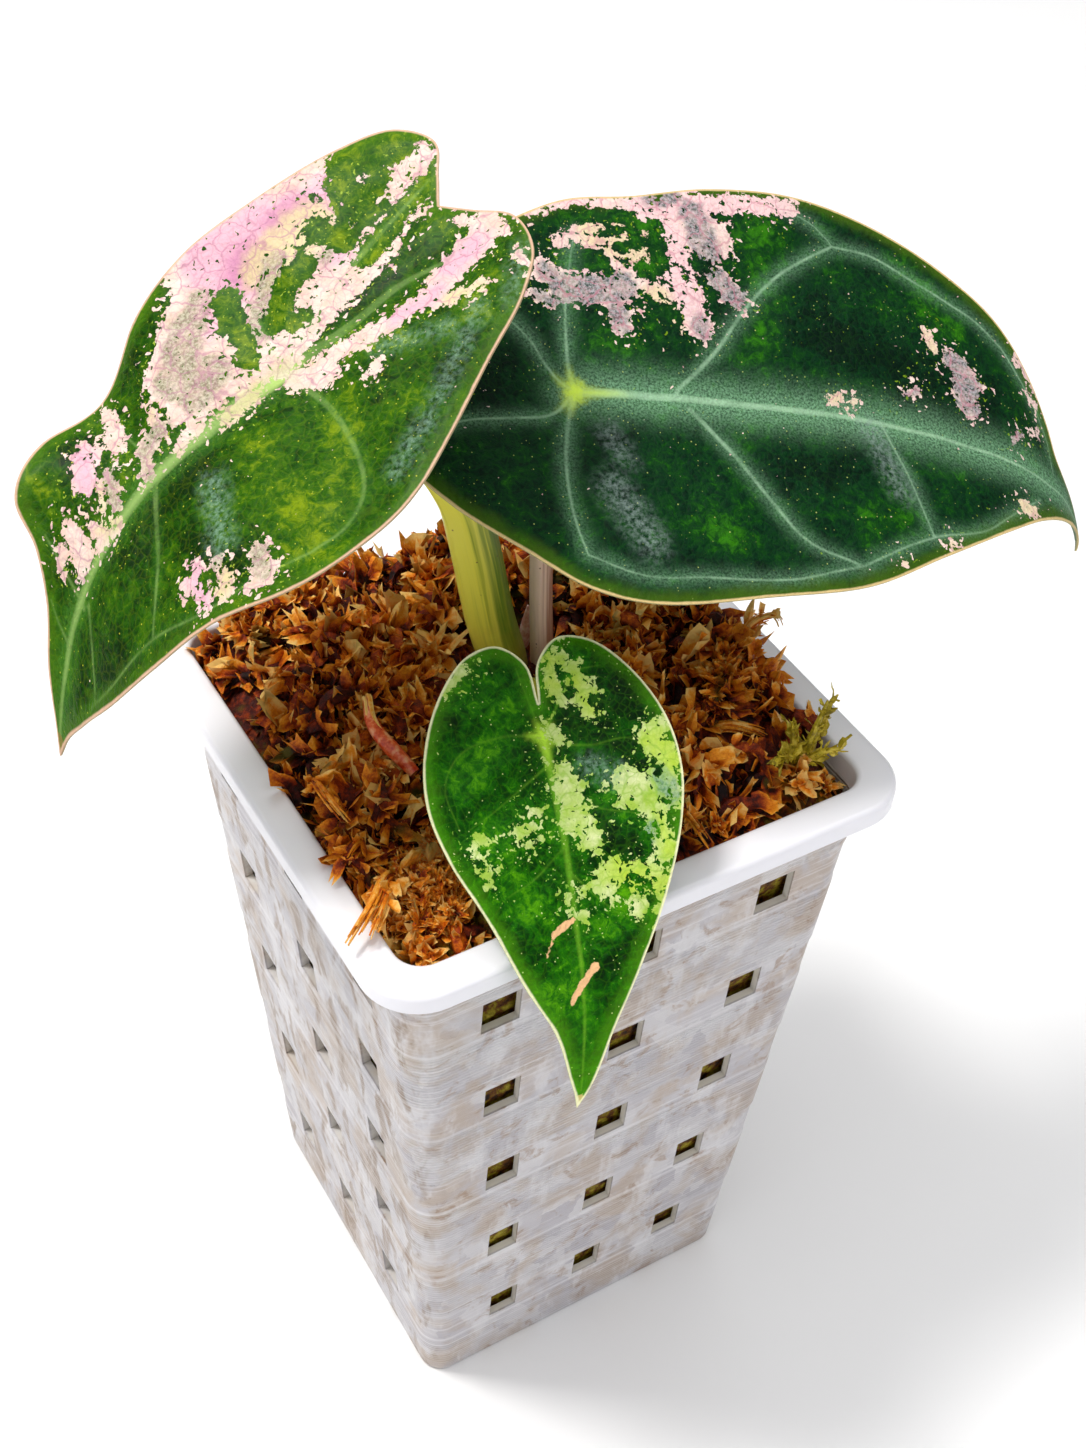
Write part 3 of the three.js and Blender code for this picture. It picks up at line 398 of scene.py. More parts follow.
# Petiole routes, from the corm to the underside of the blade
SEAT = 1.2
PETIOLE_NECK = 2.4
LEFT_PETIOLE = [
    (0.8, 4.2, 98.4), (0.6, 4.2, 104.5), (-1.2, 4.6, 112.3), (-3.5, 5, 124.9), (-5.3, 5.4, 132),
    (-9.4, 6.2, 138.8),
]
RIGHT_PETIOLE = [
    (5.5, 2.7, 98.4), (5.3, 2.9, 105), (5, 3.3, 114), (4.9, 3.5, 124), (5.6, 3.5, 133),
]
FRONT_PETIOLE = [(1.5, -0.8, 98.4), (1, -1.6, 104.6), (-0.6, -6, 109.6), (-4, -12.4, 112.8)]
SHOOT_ROUTE = [(4.7, 6.4, 98.4), (4.7, 6.5, 104), (5.2, 6.6, 110.5)]

# Single strands of moss at the rim and on top, from the root end to the free end
LOOSE_STRANDS = [
    [(-24, -16, 98), (-27.1, -18.6, 102.9), (-30.6, -22.6, 104.2), (-35.6, -26.4, 103.6)],
    [(-24.6, -18.6, 98), (-27.6, -20.6, 102.7), (-30.6, -24, 103.8), (-33, -26.4, 103.6)],
    [(7.8, -22, 98), (7.2, -25.8, 103), (6.6, -30, 104.2), (6.5, -33.4, 103.6)],
    [(-18.8, 5, 101), (-18.6, 2.6, 108.5), (-19.5, -0.8, 107.6), (-17.5, -7.2, 104.6)],
    [(-27, -1, 98), (-28.2, -3, 104.2), (-28.4, -7.4, 105.2), (-27.6, -11, 103.8)],
    [(24, -8.6, 103), (28, -8.8, 110.4), (29.6, -10.8, 112.4), (29.6, -13.2, 110.8)],
    [(-26.4, -11.4, 98), (-28, -13, 103.4), (-30.8, -15.2, 103.9)],
]
RED_STRAND = 3
CURLED_CLUMP = (-24.4, -20)
STRAW_CURLS = [
    [(17, -3, 103), (20, -3.4, 107.4), (23.6, -5.4, 107), (24.6, -8.6, 104.6)],
    [(19, -7, 103), (22.6, -7.4, 106), (25, -10.4, 105.4), (25.6, -13.4, 103.4)],
    [(15.4, -16, 102), (18.4, -17.4, 104.4), (21.4, -19.4, 104), (23.4, -20.4, 102.6)],
]
SPRIG_STEM = [(23.5, -24.5, 93), (23.8, -24.8, 98), (24.6, -25, 103.5)]
SPRIG_LEAVES = [
    [(24, -24.8, 101), (25.6, -24.8, 105.4), (28, -24, 110)],
    [(24, -24.8, 101), (24, -24, 104.4), (23.6, -23.4, 108)],
    [(24, -24.8, 101.4), (22.4, -25.4, 104.6), (20.4, -25.8, 105.4)],
    [(24, -24.8, 101.2), (26, -26.4, 104.4), (28.4, -27.6, 105.2)],
    [(25.6, -23.8, 101.2), (28.6, -23, 105), (31, -21.8, 107.6)],
]


def linear(code):
    """Linear colour of a six-digit sRGB code"""
    shares = [int(code[i:i + 2], 16) / 255 for i in (0, 2, 4)]
    return tuple(c / 12.92 if c <= 0.04045 else ((c + 0.055) / 1.055) ** 2.4 for c in shares) + (1,)


def smooth(value, low, high):
    share = np.clip((value - low) / (high - low), 0, 1)
    return share * share * (3 - 2 * share)


class Value:
    """A number that varies over a material, for sums and products in plain signs"""

    def __init__(self, shader, socket):
        self.shader = shader
        self.socket = socket

    def __add__(self, other):
        return self.shader.math("ADD", self, other)

    __radd__ = __add__

    def __mul__(self, other):
        return self.shader.math("MULTIPLY", self, other)

    __rmul__ = __mul__

    def __sub__(self, other):
        return self.shader.math("SUBTRACT", self, other)

    def __rsub__(self, other):
        return self.shader.math("SUBTRACT", other, self)


class Shader:
    """One procedural material. Inputs are numbers, sRGB codes, sockets or Values."""

    def __init__(self, name):
        self.material = bpy.data.materials.new(name)
        self.material.use_nodes = True
        self.tree = self.material.node_tree
        self.surface = self.tree.nodes["Principled BSDF"]

    def put(self, socket, value):
        if isinstance(value, Value):
            value = value.socket
        if isinstance(value, str):
            value = linear(value)
        if isinstance(value, bpy.types.NodeSocket):
            self.tree.links.new(value, socket)
        else:
            socket.default_value = value

    def node(self, kind, values, output, **settings):
        """The named output of a new node"""
        made = self.tree.nodes.new(f"ShaderNode{kind}")
        for key, value in settings.items():
            setattr(made, key, value)
        for key, value in values.items():
            self.put(made.inputs[key], value)
        return made.outputs[output]

    def number(self, kind, values, output, **settings):
        return Value(self, self.node(kind, values, output, **settings))

    def field(self, name):
        return self.number("Attribute", {}, "Fac", attribute_name=name)

    def place(self, name):
        return self.node("Attribute", {}, "Vector", attribute_name=name)

    def position(self):
        """Place on the object in millimetres"""
        return self.vector("SCALE", self.node("TexCoord", {}, "Object"), scale=1 / MM)

    def axis(self, vector, name):
        return self.number("SeparateXYZ", {"Vector": vector}, name)

    def stretched(self, where, scale):
        return self.node("Mapping", {"Vector": where, "Scale": scale}, "Vector")

    def vector(self, operation, a, b=(0, 0, 0), scale=1.0):
        return self.node("VectorMath", {0: a, 1: b, 3: scale}, 0, operation=operation)

    def jittered(self, where, scale, reach):
        """The place, moved about by noise"""
        shift = self.node("TexNoise", {"Vector": where, "Scale": scale}, "Color")
        return self.vector("ADD", where, self.vector("SCALE", shift, scale=reach))

    def math(self, operation, a, b=0.0):
        return self.number("Math", {0: a, 1: b}, 0, operation=operation)

    def noise(self, where, scale, detail=2.0, roughness=0.5, distortion=0.0):
        values = {"Vector": where, "Scale": scale, "Detail": detail, "Roughness": roughness}
        return self.number("TexNoise", {**values, "Distortion": distortion}, "Fac")

    def cell_edge(self, where, scale):
        """Distance from the nearest edge of a net of cells"""
        values = {"Vector": where, "Scale": scale}
        return self.number("TexVoronoi", values, "Distance", feature="DISTANCE_TO_EDGE")

    def cell(self, where, scale):
        """Distance from a cell's middle, and a colour that the whole cell has"""
        socket = self.node("TexVoronoi", {"Vector": where, "Scale": scale}, "Distance")
        return Value(self, socket), socket.node.outputs["Color"]

    def range(self, value, start, end, low=0.0, high=1.0):
        values = {"Value": value, "From Min": start, "From Max": end, "To Min": low, "To Max": high}
        return self.number("MapRange", values, "Result", interpolation_type="SMOOTHSTEP")

    def mix(self, share, a, b):
        return self.node("Mix", {0: share, 6: a, 7: b}, 2, data_type="RGBA")

    def ramp(self, value, stops):
        socket = self.node("ValToRGB", {"Fac": value}, "Color")
        elements = socket.node.color_ramp.elements
        while len(elements) < len(stops):
            elements.new(0.5)
        for element, (place, color) in zip(elements, stops):
            element.position = place
            element.color = linear(color)
        return socket

    def bump(self, height, distance, strength=1.0):
        values = {"Height": height, "Distance": distance, "Strength": strength}
        return self.node("Bump", values, "Normal")

    def finish(self, **inputs):
        for key, value in inputs.items():
            self.put(self.surface.inputs[key.replace("_", " ")], value)
        return self.material


def make_object(name, points, faces, material, fields=None, smooth_angle=40):
    """A mesh object from points in millimetres. It rides on the one body."""
    mesh = bpy.data.meshes.new(name)
    mesh.from_pydata((np.asarray(points) * MM).tolist(), [], faces)
    mesh.validate()
    mesh.polygons.foreach_set("use_smooth", [True] * len(mesh.polygons))
    mesh.set_sharp_from_angle(angle=math.radians(smooth_angle))
    for key, values in (fields or {}).items():
        values = np.asarray(values, dtype=np.float32)
        kind = "FLOAT" if values.ndim == 1 else "FLOAT_VECTOR"
        layer = mesh.attributes.new(key, kind, "POINT")
        layer.data.foreach_set("value" if values.ndim == 1 else "vector", values.ravel())
    mesh.materials.append(material)
    piece = bpy.data.objects.new(name, mesh)
    bpy.context.scene.collection.objects.link(piece)
    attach(piece, "root")
    return piece


def smooth_curve(points, spacing):
    """Evenly spaced points of a smooth curve through given points"""
    points = np.asarray(points, float)
    points = np.vstack([2 * points[0] - points[1], points, 2 * points[-1] - points[-2]])
    dense = []
    for i in range(len(points) - 3):
        p = points[i:i + 4]
        knots = np.concatenate([[0], np.cumsum(np.sqrt(np.linalg.norm(np.diff(p, axis=0), axis=1)))])
        at = np.linspace(knots[1], knots[2], 24, endpoint=False)[:, None]
        level = list(p)
        for order in (1, 2, 3):
            if order == 3:
                low, high = knots[1], knots[2]
                level = [(high - at) / (high - low) * level[0] + (at - low) / (high - low) * level[1]]
            else:
                level = [
                    (knots[k + order] - at) / (knots[k + order] - knots[k]) * level[k]
                    + (at - knots[k]) / (knots[k + order] - knots[k]) * level[k + 1]
                    for k in range(4 - order)
                ]
        dense.append(level[0])
    dense = np.vstack(dense + [points[-2]])
    run = np.concatenate([[0], np.cumsum(np.linalg.norm(np.diff(dense, axis=0), axis=1))])
    count = max(2, int(round(run[-1] / spacing)) + 1)
    at = np.linspace(0, run[-1], count)
    return np.stack([np.interp(at, run, dense[:, axis]) for axis in range(dense.shape[1])], axis=1)


def through(points, at):
    """Value of a smooth line through given points, level at its start and straight beyond its end"""
    x, y = np.array(points, float).T
    slope = np.zeros(len(x))
    slope[1:-1] = (y[2:] - y[:-2]) / (x[2:] - x[:-2])
    slope[-1] = (y[-1] - y[-2]) / (x[-1] - x[-2])
    inside = np.clip(at, x[0], x[-1])
    i = np.clip(np.searchsorted(x, inside) - 1, 0, len(x) - 2)
    width = x[i + 1] - x[i]
    u = (inside - x[i]) / width
    value = (2 * u ** 3 - 3 * u ** 2 + 1) * y[i] + (u ** 3 - 2 * u ** 2 + u) * width * slope[i]
    value += (3 * u ** 2 - 2 * u ** 3) * y[i + 1] + (u ** 3 - u ** 2) * width * slope[i + 1]
    return value + np.clip(at - x[-1], 0, None) * slope[-1]


class BladeSurface:
    """The blade's middle surface in space"""

    def __init__(self, leaf):
        self.leaf = leaf
        heading, pitch, roll = (math.radians(leaf[key]) for key in ("heading", "pitch", "roll"))
        self.along = np.array([
            math.cos(heading) * math.cos(pitch),
            math.sin(heading) * math.cos(pitch),
            -math.sin(pitch),
        ])
        level = np.array([-math.sin(heading), math.cos(heading), 0])
        self.across = level * math.cos(roll) + np.cross(self.along, level) * math.sin(roll)
        self.up = np.cross(self.along, self.across)
        self.run = np.linspace(-40, 90, 2601)
        angle = self.bend(self.run)
        step = self.run[1] - self.run[0]
        start = np.argmin(abs(self.run))
        self.forward = np.cumsum(np.cos(angle)) * step
        self.lifted = -np.cumsum(np.sin(angle)) * step
        self.forward -= self.forward[start]
        self.lifted -= self.lifted[start]

    def bend(self, s):
        angle = self.leaf["curl"] * np.clip(s, 0, None)
        for start, rate in self.leaf["droops"]:
            angle = angle + rate * np.clip(s - start, 0, None)
        return angle

    def middle(self, s, t):
        leaf = self.leaf
        rise = leaf["fold"] * (np.hypot(t, 3) - 3) - leaf["cup"] * t * t
        for side, at, width, height in leaf["ruffles"]:
            outward = np.clip(side * t / 15, 0, None) ** 1.7
            rise = rise + height * np.exp(-(((s - at) / width) ** 2)) * outward
        angle = self.bend(s)
        forward = np.interp(s, self.run, self.forward) + np.sin(angle) * rise
        lifted = np.interp(s, self.run, self.lifted) + np.cos(angle) * rise
        sideways = t + through(leaf["midrib"], s)
        return (
            np.array(leaf["heart"])
            + forward[:, None] * self.along
            + lifted[:, None] * self.up
            + sideways[:, None] * self.across
        )

    def point(self, s, t, lift):
        probe = 0.05
        lengthwise = self.middle(s + probe, t) - self.middle(s - probe, t)
        crosswise = self.middle(s, t + probe) - self.middle(s, t - probe)
        normal = np.cross(lengthwise, crosswise)
        normal /= np.linalg.norm(normal, axis=1)[:, None]
        return self.middle(s, t) + normal * np.asarray(lift)[:, None]


def distance_to_line(points, line, start_half=0.0, end_half=0.0):
    """Distance of each point from a line, less the line's half-width there"""
    best = np.full(len(points), 99.0)
    parts = max(1, len(line) - 1)
    for i, (a, b) in enumerate(zip(line[:-1], line[1:])):
        step = b - a
        share = np.clip((points - a) @ step / max(step @ step, 1e-9), 0, 1)
        gap = np.linalg.norm(points - a - share[:, None] * step, axis=1)
        half = start_half + (end_half - start_half) * (i + share) / parts
        best = np.minimum(best, gap - half)
    return best


def inside_loop(points, loop):
    """Whether each point lies inside a closed loop"""
    inside = np.zeros(len(points), bool)
    for a, b in zip(loop, np.roll(loop, -1, axis=0)):
        spans = (a[1] > points[:, 1]) != (b[1] > points[:, 1])
        rise = b[1] - a[1] if b[1] != a[1] else 1e-9
        inside ^= spans & (points[:, 0] < a[0] + (points[:, 1] - a[1]) * (b[0] - a[0]) / rise)
    return inside


def blade_outline(leaf):
    left = smooth_curve([leaf["notch"], *leaf["left"], leaf["tip"]], GRID)
    right = smooth_curve([leaf["notch"], *leaf["right"], leaf["tip"]], GRID)
    return np.vstack([right, left[-2:0:-1]])


def blade_triangles(leaf):
    """Flat points and triangles of the blade, fine and even, with edges along the veins"""
    loop = blade_outline(leaf)
    veins = [smooth_curve(points, GRID) for points, _, _ in leaf["veins"]]
    low, high = loop.min(axis=0), loop.max(axis=0)
    rows = []
    for k, t in enumerate(np.arange(low[1], high[1], GRID * 0.866)):
        s = np.arange(low[0] + (k % 2) * GRID / 2, high[0], GRID)
        rows.append(np.stack([s, np.full(len(s), t)], axis=1))
    grid = np.vstack(rows)
    grid = grid[inside_loop(grid, loop)]
    closed = np.vstack([loop, loop[:1]])
    clear = distance_to_line(grid, closed) > 0.55 * GRID
    for vein in veins:
        clear &= distance_to_line(grid, vein) > 0.55 * GRID
    points = [Vector(p) for p in loop]
    edges = []
    for vein in veins:
        kept = vein[inside_loop(vein, loop) & (distance_to_line(vein, closed) > 0.3 * GRID)]
        edges += [(len(points) + i, len(points) + i + 1) for i in range(len(kept) - 1)]
        points += [Vector(p) for p in kept]
    points += [Vector(p) for p in grid[clear]]
    result = delaunay_2d_cdt(points, edges, [list(range(len(loop)))], 1, 1e-4, False)
    flat = np.array([tuple(p) for p in result[0]])
    triangles = np.array([tuple(face) for face in result[2]])
    return flat, triangles[inside_loop(flat[triangles].mean(axis=1), loop)].tolist()


def blade_fields(leaf, flat):
    """Distances in millimetres that the blade's material colours by"""
    loop = blade_outline(leaf)
    vein = np.full(len(flat), 99.0)
    for points, start_half, end_half in leaf["veins"]:
        line = smooth_curve(points, 1.0)
        vein = np.minimum(vein, distance_to_line(flat, line, start_half, end_half))
    main, start_half, end_half = leaf["veins"][0]
    fields = {
        "vein": vein,
        "midrib": distance_to_line(flat, smooth_curve(main, 1.0), start_half, end_half),
        "margin": distance_to_line(flat, np.vstack([loop, loop[:1]])),
        "flat": np.column_stack([flat, np.zeros(len(flat))]),
    }
    for kind, strokes in leaf["patches"].items():
        field = np.full(len(flat), 9.0)
        for s0, t0, s1, t1, half in strokes:
            line = np.array([(s0, t0), (s1, t1)], float)
            field = np.minimum(field, distance_to_line(flat, line, half, half))
        fields[kind] = field
    return fields


def blade(leaf, material):
    """A closed thin blade with sunken veins and quilted panels between them"""
    flat, triangles = blade_triangles(leaf)
    fields = blade_fields(leaf, flat)
    surface = BladeSurface(leaf)
    toward_margin = smooth(fields["margin"], 0, 2)
    panel = 1 - np.exp(-((np.clip(fields["vein"], 0, None) / QUILT_REACH) ** 2))
    lumps = np.array([noise.noise(Vector((s * 0.22, t * 0.22, leaf["pitch"]))) for s, t in flat])
    relief = toward_margin * (leaf["quilt"] * (panel - 0.5) + 0.22 * lumps)
    half = MARGIN_HALF_THICKNESS
    half = half + (BLADE_HALF_THICKNESS - half) * smooth(fields["margin"], 0, 1.2)
    taper = np.clip(1 - flat[:, 0] / leaf["tip"][0], 0.1, 1)
    rib = 0.55 * taper * np.exp(-((fields["midrib"] + 0.6) / 0.9) ** 2)
    rib += 0.2 * np.exp(-(np.clip(fields["vein"], 0, None) / 0.4) ** 2) * toward_margin
    top = surface.point(flat[:, 0], flat[:, 1], relief + half)
    bottom = surface.point(flat[:, 0], flat[:, 1], relief - half - rib)
    count = len(flat)
    sides = set()
    for a, b, c in triangles:
        for edge in ((a, b), (b, c), (c, a)):
            if (edge[1], edge[0]) in sides:
                sides.remove((edge[1], edge[0]))
            else:
                sides.add(edge)
    faces = list(triangles)
    faces += [(c + count, b + count, a + count) for a, b, c in triangles]
    faces += [(b, a, a + count, b + count) for a, b in sorted(sides)]
    fields = {key: np.concatenate([value, value]) for key, value in fields.items()}
    fields["under"] = np.repeat([0.0, 1.0], count)
    piece = make_object(
        f"leaf_{leaf['name']}", np.vstack([top, bottom]), faces, material, fields, 60,
    )
    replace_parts(piece, f"blade_{leaf['name']}")
    return piece


def centred(shader, where, scale, amount, detail=3.0):
    """Noise about zero"""
    return (shader.noise(where, scale, detail, 0.6) - 0.5) * amount


def torn_field(shader, name, where, amount):
    """A patch's distance with a ragged edge"""
    torn = shader.field(name)
    for scale, share in ((0.45, 2.3), (1.1, 2.8), (3.0, 0.4)):
        torn = torn + centred(shader, where, scale, share * amount)
    return torn


def ragged(shader, name, where, amount=1.0):
    """1 inside a patch and 0 outside"""
    return shader.range(torn_field(shader, name, where, amount), -0.07, 0.07, 1.0, 0.0)


def flecks(shader, where, scale, size, likely):
    """Small round spots in some cells, more of them where likely is near 1"""
    distance, color = shader.cell(where, scale)
    rank = shader.axis(color, "X")
    chosen = shader.range(rank + likely, 0.97, 1.03)
    return shader.range(distance - rank * size, -0.05, 0.03, 1.0, 0.0) * chosen


def blots(shader, where, scale, threshold):
    """Irregular small spots where noise passes a threshold"""
    value = shader.noise(where, scale, 2.0, 0.5, 0.4) - threshold
    return shader.range(value, 0.0, 0.02)


def soft(shader, name, reach, where):
    """1 inside a patch, fading out over its surroundings"""
    field = shader.field(name)
    coarse = (shader.noise(where, 0.7, 2.0) - 0.5) * 2.2
    return shader.range(field + coarse, -reach, reach, 1.0, 0.0)


def green_tissue(shader, where, tones):
    """Mottled green with a fine net, lighter and darker areas, painted light and painted shade where
    strokes lie, and pale flecks
    """
    broad = shader.noise(where, 0.15, 3.0, 0.55)
    mottle = shader.noise(where, 0.8, 4.0, 0.7, 0.8)
    tone = broad * 0.4 + mottle * 0.6
    # Painted light and painted shade: the green is lighter along some strokes and darker along others,
    # where light and shadow fall on the blade.
    painted_light = soft(shader, "painted_light", 2.6, where) * 0.12
    painted_shade = soft(shader, "painted_shade", 2.6, where) * 0.12
    island = soft(shader, "green", 0.8, where) * 0.1
    green = shader.ramp(tone + painted_light + island - painted_shade, [
        (0.38, tones["dark"]), (0.49, tones["green"]), (0.58, tones["middle"]), (0.72, tones["bright"]),
    ])
    net = shader.cell_edge(where, 1.0)
    line = shader.range(net, 0.0, 0.12, tones["net_share"], 0.0)
    green = shader.mix(line, green, tones["bright"])
    clump = shader.range(shader.noise(where, 0.22, 3.0), 0.46, 0.64, 0.0, 0.2)
    nearby = shader.range(shader.field("pale"), 0.0, 4.5, 0.26, 0.0)
    likely = clump + nearby
    dots = flecks(shader, where, 2.0, 0.17, likely + 0.08)
    spots = blots(shader, where, 1.9, shader.range(likely, 0.0, 0.46, 0.74, 0.63))
    green = shader.mix(dots * 0.8, green, tones["fleck"])
    return shader.mix(spots * 0.75, green, tones["spot"]), net


def pale_tissue(shader, where, tones):
    """Pale tissue in several tints with a faint net of coloured veins"""
    pale = shader.ramp(shader.noise(where, 0.4, 3.0, 0.6), [
        (0.3, tones["pale"]), (0.62, tones["pale_shade"]),
    ])
    pale = shader.mix(soft(shader, "pink", 1.2, where), pale, tones["pink"])
    pale = shader.mix(soft(shader, "magenta", 1.6, where), pale, tones["magenta"])
    pale = shader.mix(soft(shader, "cream", 1.0, where) * 0.75, pale, tones["cream"])
    speckle = shader.range(shader.noise(where, 2.6, 4.0, 0.75), 0.4, 0.6)
    grey = shader.mix(speckle, tones["grey_dark"], tones["grey"])
    broken = shader.range(shader.noise(where, 0.6, 3.0), 0.4, 0.65, 1.0, 0.6)
    pale = shader.mix(soft(shader, "grey", 0.5, where) * broken, pale, grey)
    moved = shader.jittered(where, 0.6, 1.6)
    for scale, width, share in ((0.34, 0.05, 0.6), (0.9, 0.1, 0.28)):
        net = shader.cell_edge(moved, scale)
        pale = shader.mix(shader.range(net, 0.0, width, share, 0.0), pale, tones["pale_vein"])
    return pale


def patch_mask(shader, where):
    """1 on pale tissue, with green islands in it and torn bits around it"""
    pale = shader.field("pale")
    bits = blots(shader, where, 1.15, shader.range(pale, 0.0, 2.8, 0.57, 0.74))
    patch = shader.math("MAXIMUM", ragged(shader, "pale", where), bits)
    near_island = shader.range(shader.field("green"), 0.0, 2.5, 0.57, 0.66)
    holes = blots(shader, shader.vector("ADD", where, (40, 17, 0)), 1.4, near_island)
    island = shader.math("MAXIMUM", ragged(shader, "green", where, 0.8), holes)
    return patch * (1.0 - island)


def heart_star(shader, where, vein, midrib, reach):
    """The light spot where the petiole joins, drawn out along the veins"""
    far = shader.number("VectorMath", {0: where}, "Value", operation="LENGTH")
    far = far + centred(shader, where, 1.4, 2.0)
    centre = shader.range(far, 0.2, reach, 0.95, 0.0)
    rays = shader.range(far, 0.6, reach * 1.7, 0.6, 0.0) * shader.range(vein, -0.2, 0.6, 1.0, 0.0)
    along = shader.range(far, 1.0, reach * 3.2, 0.7, 0.0) * shader.range(midrib, -0.6, 0.3, 1.0, 0.0)
    return shader.math("MAXIMUM", shader.math("MAXIMUM", centre, rays), along)


def add_veins(shader, where, tones, color, bare):
    """Soft dusty glow along the veins, the veins' own lines and the star at the heart"""
    vein = shader.field("vein")
    midrib = shader.field("midrib")
    speckle_mask = shader.range(shader.noise(where, 3.6, 3.0, 0.7), 0.34, 0.64, 0.2, 1.0)
    waver = centred(shader, where, 0.5, 1.2)
    reach, share = tones["glow_reach"], tones["glow_share"]
    glow = shader.range(vein + waver, -0.6, reach, 1.0, 0.0)
    middle = shader.range(midrib + waver, -0.6, reach * 2.4, 1.0, 0.0)
    glow = shader.math("POWER", glow, 1.9) * share
    middle = shader.math("POWER", middle, 1.9) * (share * 1.8)
    glow = shader.math("MAXIMUM", glow, middle) * speckle_mask
    color = shader.mix(glow * bare, color, tones["glow"])
    faint = shader.range(shader.noise(where, 0.35, 2.0), 0.35, 0.6, 0.5, 1.0)
    line = shader.range(vein, -0.24, 0.08, tones["vein_share"], 0.0) * bare
    color = shader.mix(line * faint, color, tones["vein"])
    rib = shader.range(midrib, -0.9, 0.1, tones["rib_share"], 0.0) * bare
    color = shader.mix(rib, color, tones["vein"])
    star = heart_star(shader, where, vein, midrib, tones["star_reach"])
    return shader.mix(star * bare, color, tones["star"])


def leaf_material(name, tones, coat, roughness, specular):
    """Variegated blade: mottled green with painted light and shade, torn pale patches, pale veins, a
    painted sheen and a light margin
    """
    shader = Shader(name)
    where = shader.place("flat")
    margin = shader.field("margin")
    green, net = green_tissue(shader, where, tones)
    patch = patch_mask(shader, where)
    color = shader.mix(patch, green, pale_tissue(shader, where, tones))
    bare = 1.0 - patch * 0.8
    color = add_veins(shader, where, tones, color, bare)

    # Painted sheen: greyish silver strokes where the glossy blade catches light, broken into specks.
    speckle_mask = shader.range(shader.noise(where, 1.6, 4.0, 0.7), 0.35, 0.68)
    painted_sheen = soft(shader, "painted_sheen", 1.7, where) * speckle_mask
    color = shader.mix(painted_sheen * 0.7, color, tones["painted_sheen"])
    color = shader.mix(ragged(shader, "scar", where, 0.25), color, tones["scar"])
    uneven = centred(shader, where, 0.3, 2.2)
    band = shader.range(margin + uneven, 0.2, 2.2, tones["band_share"], 0.0)
    band = band * (1.0 - patch)
    color = shader.mix(band, color, tones["band"])
    thin = margin + uneven * 0.12
    color = shader.mix(shader.range(thin, 0.12, 0.34, 0.9, 0.0), color, tones["margin"])
    color = shader.mix(shader.field("under") * 0.6, color, tones["under"])

    pores = shader.noise(where, 5.0, 3.0, 0.6)
    height = shader.range(net, 0.0, 0.35, 0.0, 0.6) + pores
    normal = shader.bump(height, 0.0001, 1.0)
    gloss = roughness + pores * 0.2
    return shader.finish(
        Base_Color=color, Roughness=gloss, Normal=normal, Coat_Weight=coat, Coat_Roughness=0.25,
        Specular_IOR_Level=specular, Subsurface_Weight=0.05, Subsurface_Radius=(0.0006, 0.0012, 0.0003),
    )


LEFT_TONES = {
    "dark": "082800", "green": "1c4a00", "middle": "326000", "bright": "789008", "fleck": "ccc83c",
    "spot": "a4bc3c", "net_share": 0.12, "pale": "f2ded2", "pale_shade": "e6c4b4", "pink": "e8b4c2",
    "magenta": "c884a8", "cream": "d6cc90", "grey": "c4bca4", "grey_dark": "8c846a",
    "pale_vein": "b47892", "glow": "4c8430", "glow_reach": 1.3, "glow_share": 0.4, "vein": "98b868",
    "vein_share": 0.3, "rib_share": 0.75, "star": "bcd878", "star_reach": 1.8, "painted_sheen": "8cb098",
    "scar": "8a6a3c", "band": "4f7c10", "band_share": 0.4, "margin": "dcb498", "under": "6c8a4c",
}
RIGHT_TONES = {
    "dark": "01190c", "green": "042c14", "middle": "0a3c0e", "bright": "2c7008", "fleck": "b8c46c",
    "spot": "7c9c14", "net_share": 0.06, "pale": "f0dcd0", "pale_shade": "e4c4bc", "pink": "ecc8c8",
    "magenta": "e0a6c0", "cream": "dccb9c", "grey": "aaa4a8", "grey_dark": "40504a",
    "pale_vein": "c07c8c", "glow": "7cac84", "glow_reach": 2.6, "glow_share": 0.5, "vein": "a4caa6",
    "vein_share": 0.5, "rib_share": 0.7, "star": "d4f050", "star_reach": 2.3, "painted_sheen": "849690",
    "scar": "f2dcc0", "band": "44640c", "band_share": 0.7, "margin": "dcc088", "under": "5c7c5c",
}
FRONT_TONES = {
    "dark": "012000", "green": "084200", "middle": "1a6400", "bright": "56a004", "fleck": "dcec94",
    "spot": "9ccc4c", "net_share": 0.1, "pale": "dce4a8", "pale_shade": "a4c44c", "pink": "e6edc0",
    "magenta": "e6edc0", "cream": "b4d03c", "grey": "8fae8c", "grey_dark": "5f8a5c",
    "pale_vein": "8cb63c", "glow": "2f7c06", "glow_reach": 0.9, "glow_share": 0.35,
    "vein": "84c030", "vein_share": 0.26, "rib_share": 0.6, "star": "bce840", "star_reach": 1.5,
    "painted_sheen": "8cb098", "scar": "ecbc88", "band": "5ca810", "band_share": 0.42, "margin": "f0eec0",
    "under": "70a04c",
}


class Parts:
    """Collects points, faces and per-point values of many small shapes in one mesh"""

    def __init__(self, *names):
        self.count = 0
        self.points = []
        self.faces = []
        self.fields = {name: [] for name in names}

    def add(self, points, faces, **values):
        base = self.count
        self.count += len(points)
        self.points.append(np.asarray(points, float))
        self.faces += [tuple(base + i for i in face) for face in faces]
        for name, field in self.fields.items():
            value = np.asarray(values[name], float)
            field.append(np.broadcast_to(value, (len(points),) + value.shape[1:]))

    def finish(self, name, material, slot, smooth_angle=50):
        fields = {key: np.concatenate(blocks) for key, blocks in self.fields.items()}
        return make_object(
            name, np.vstack(self.points), self.faces, material, fields, smooth_angle,
        )


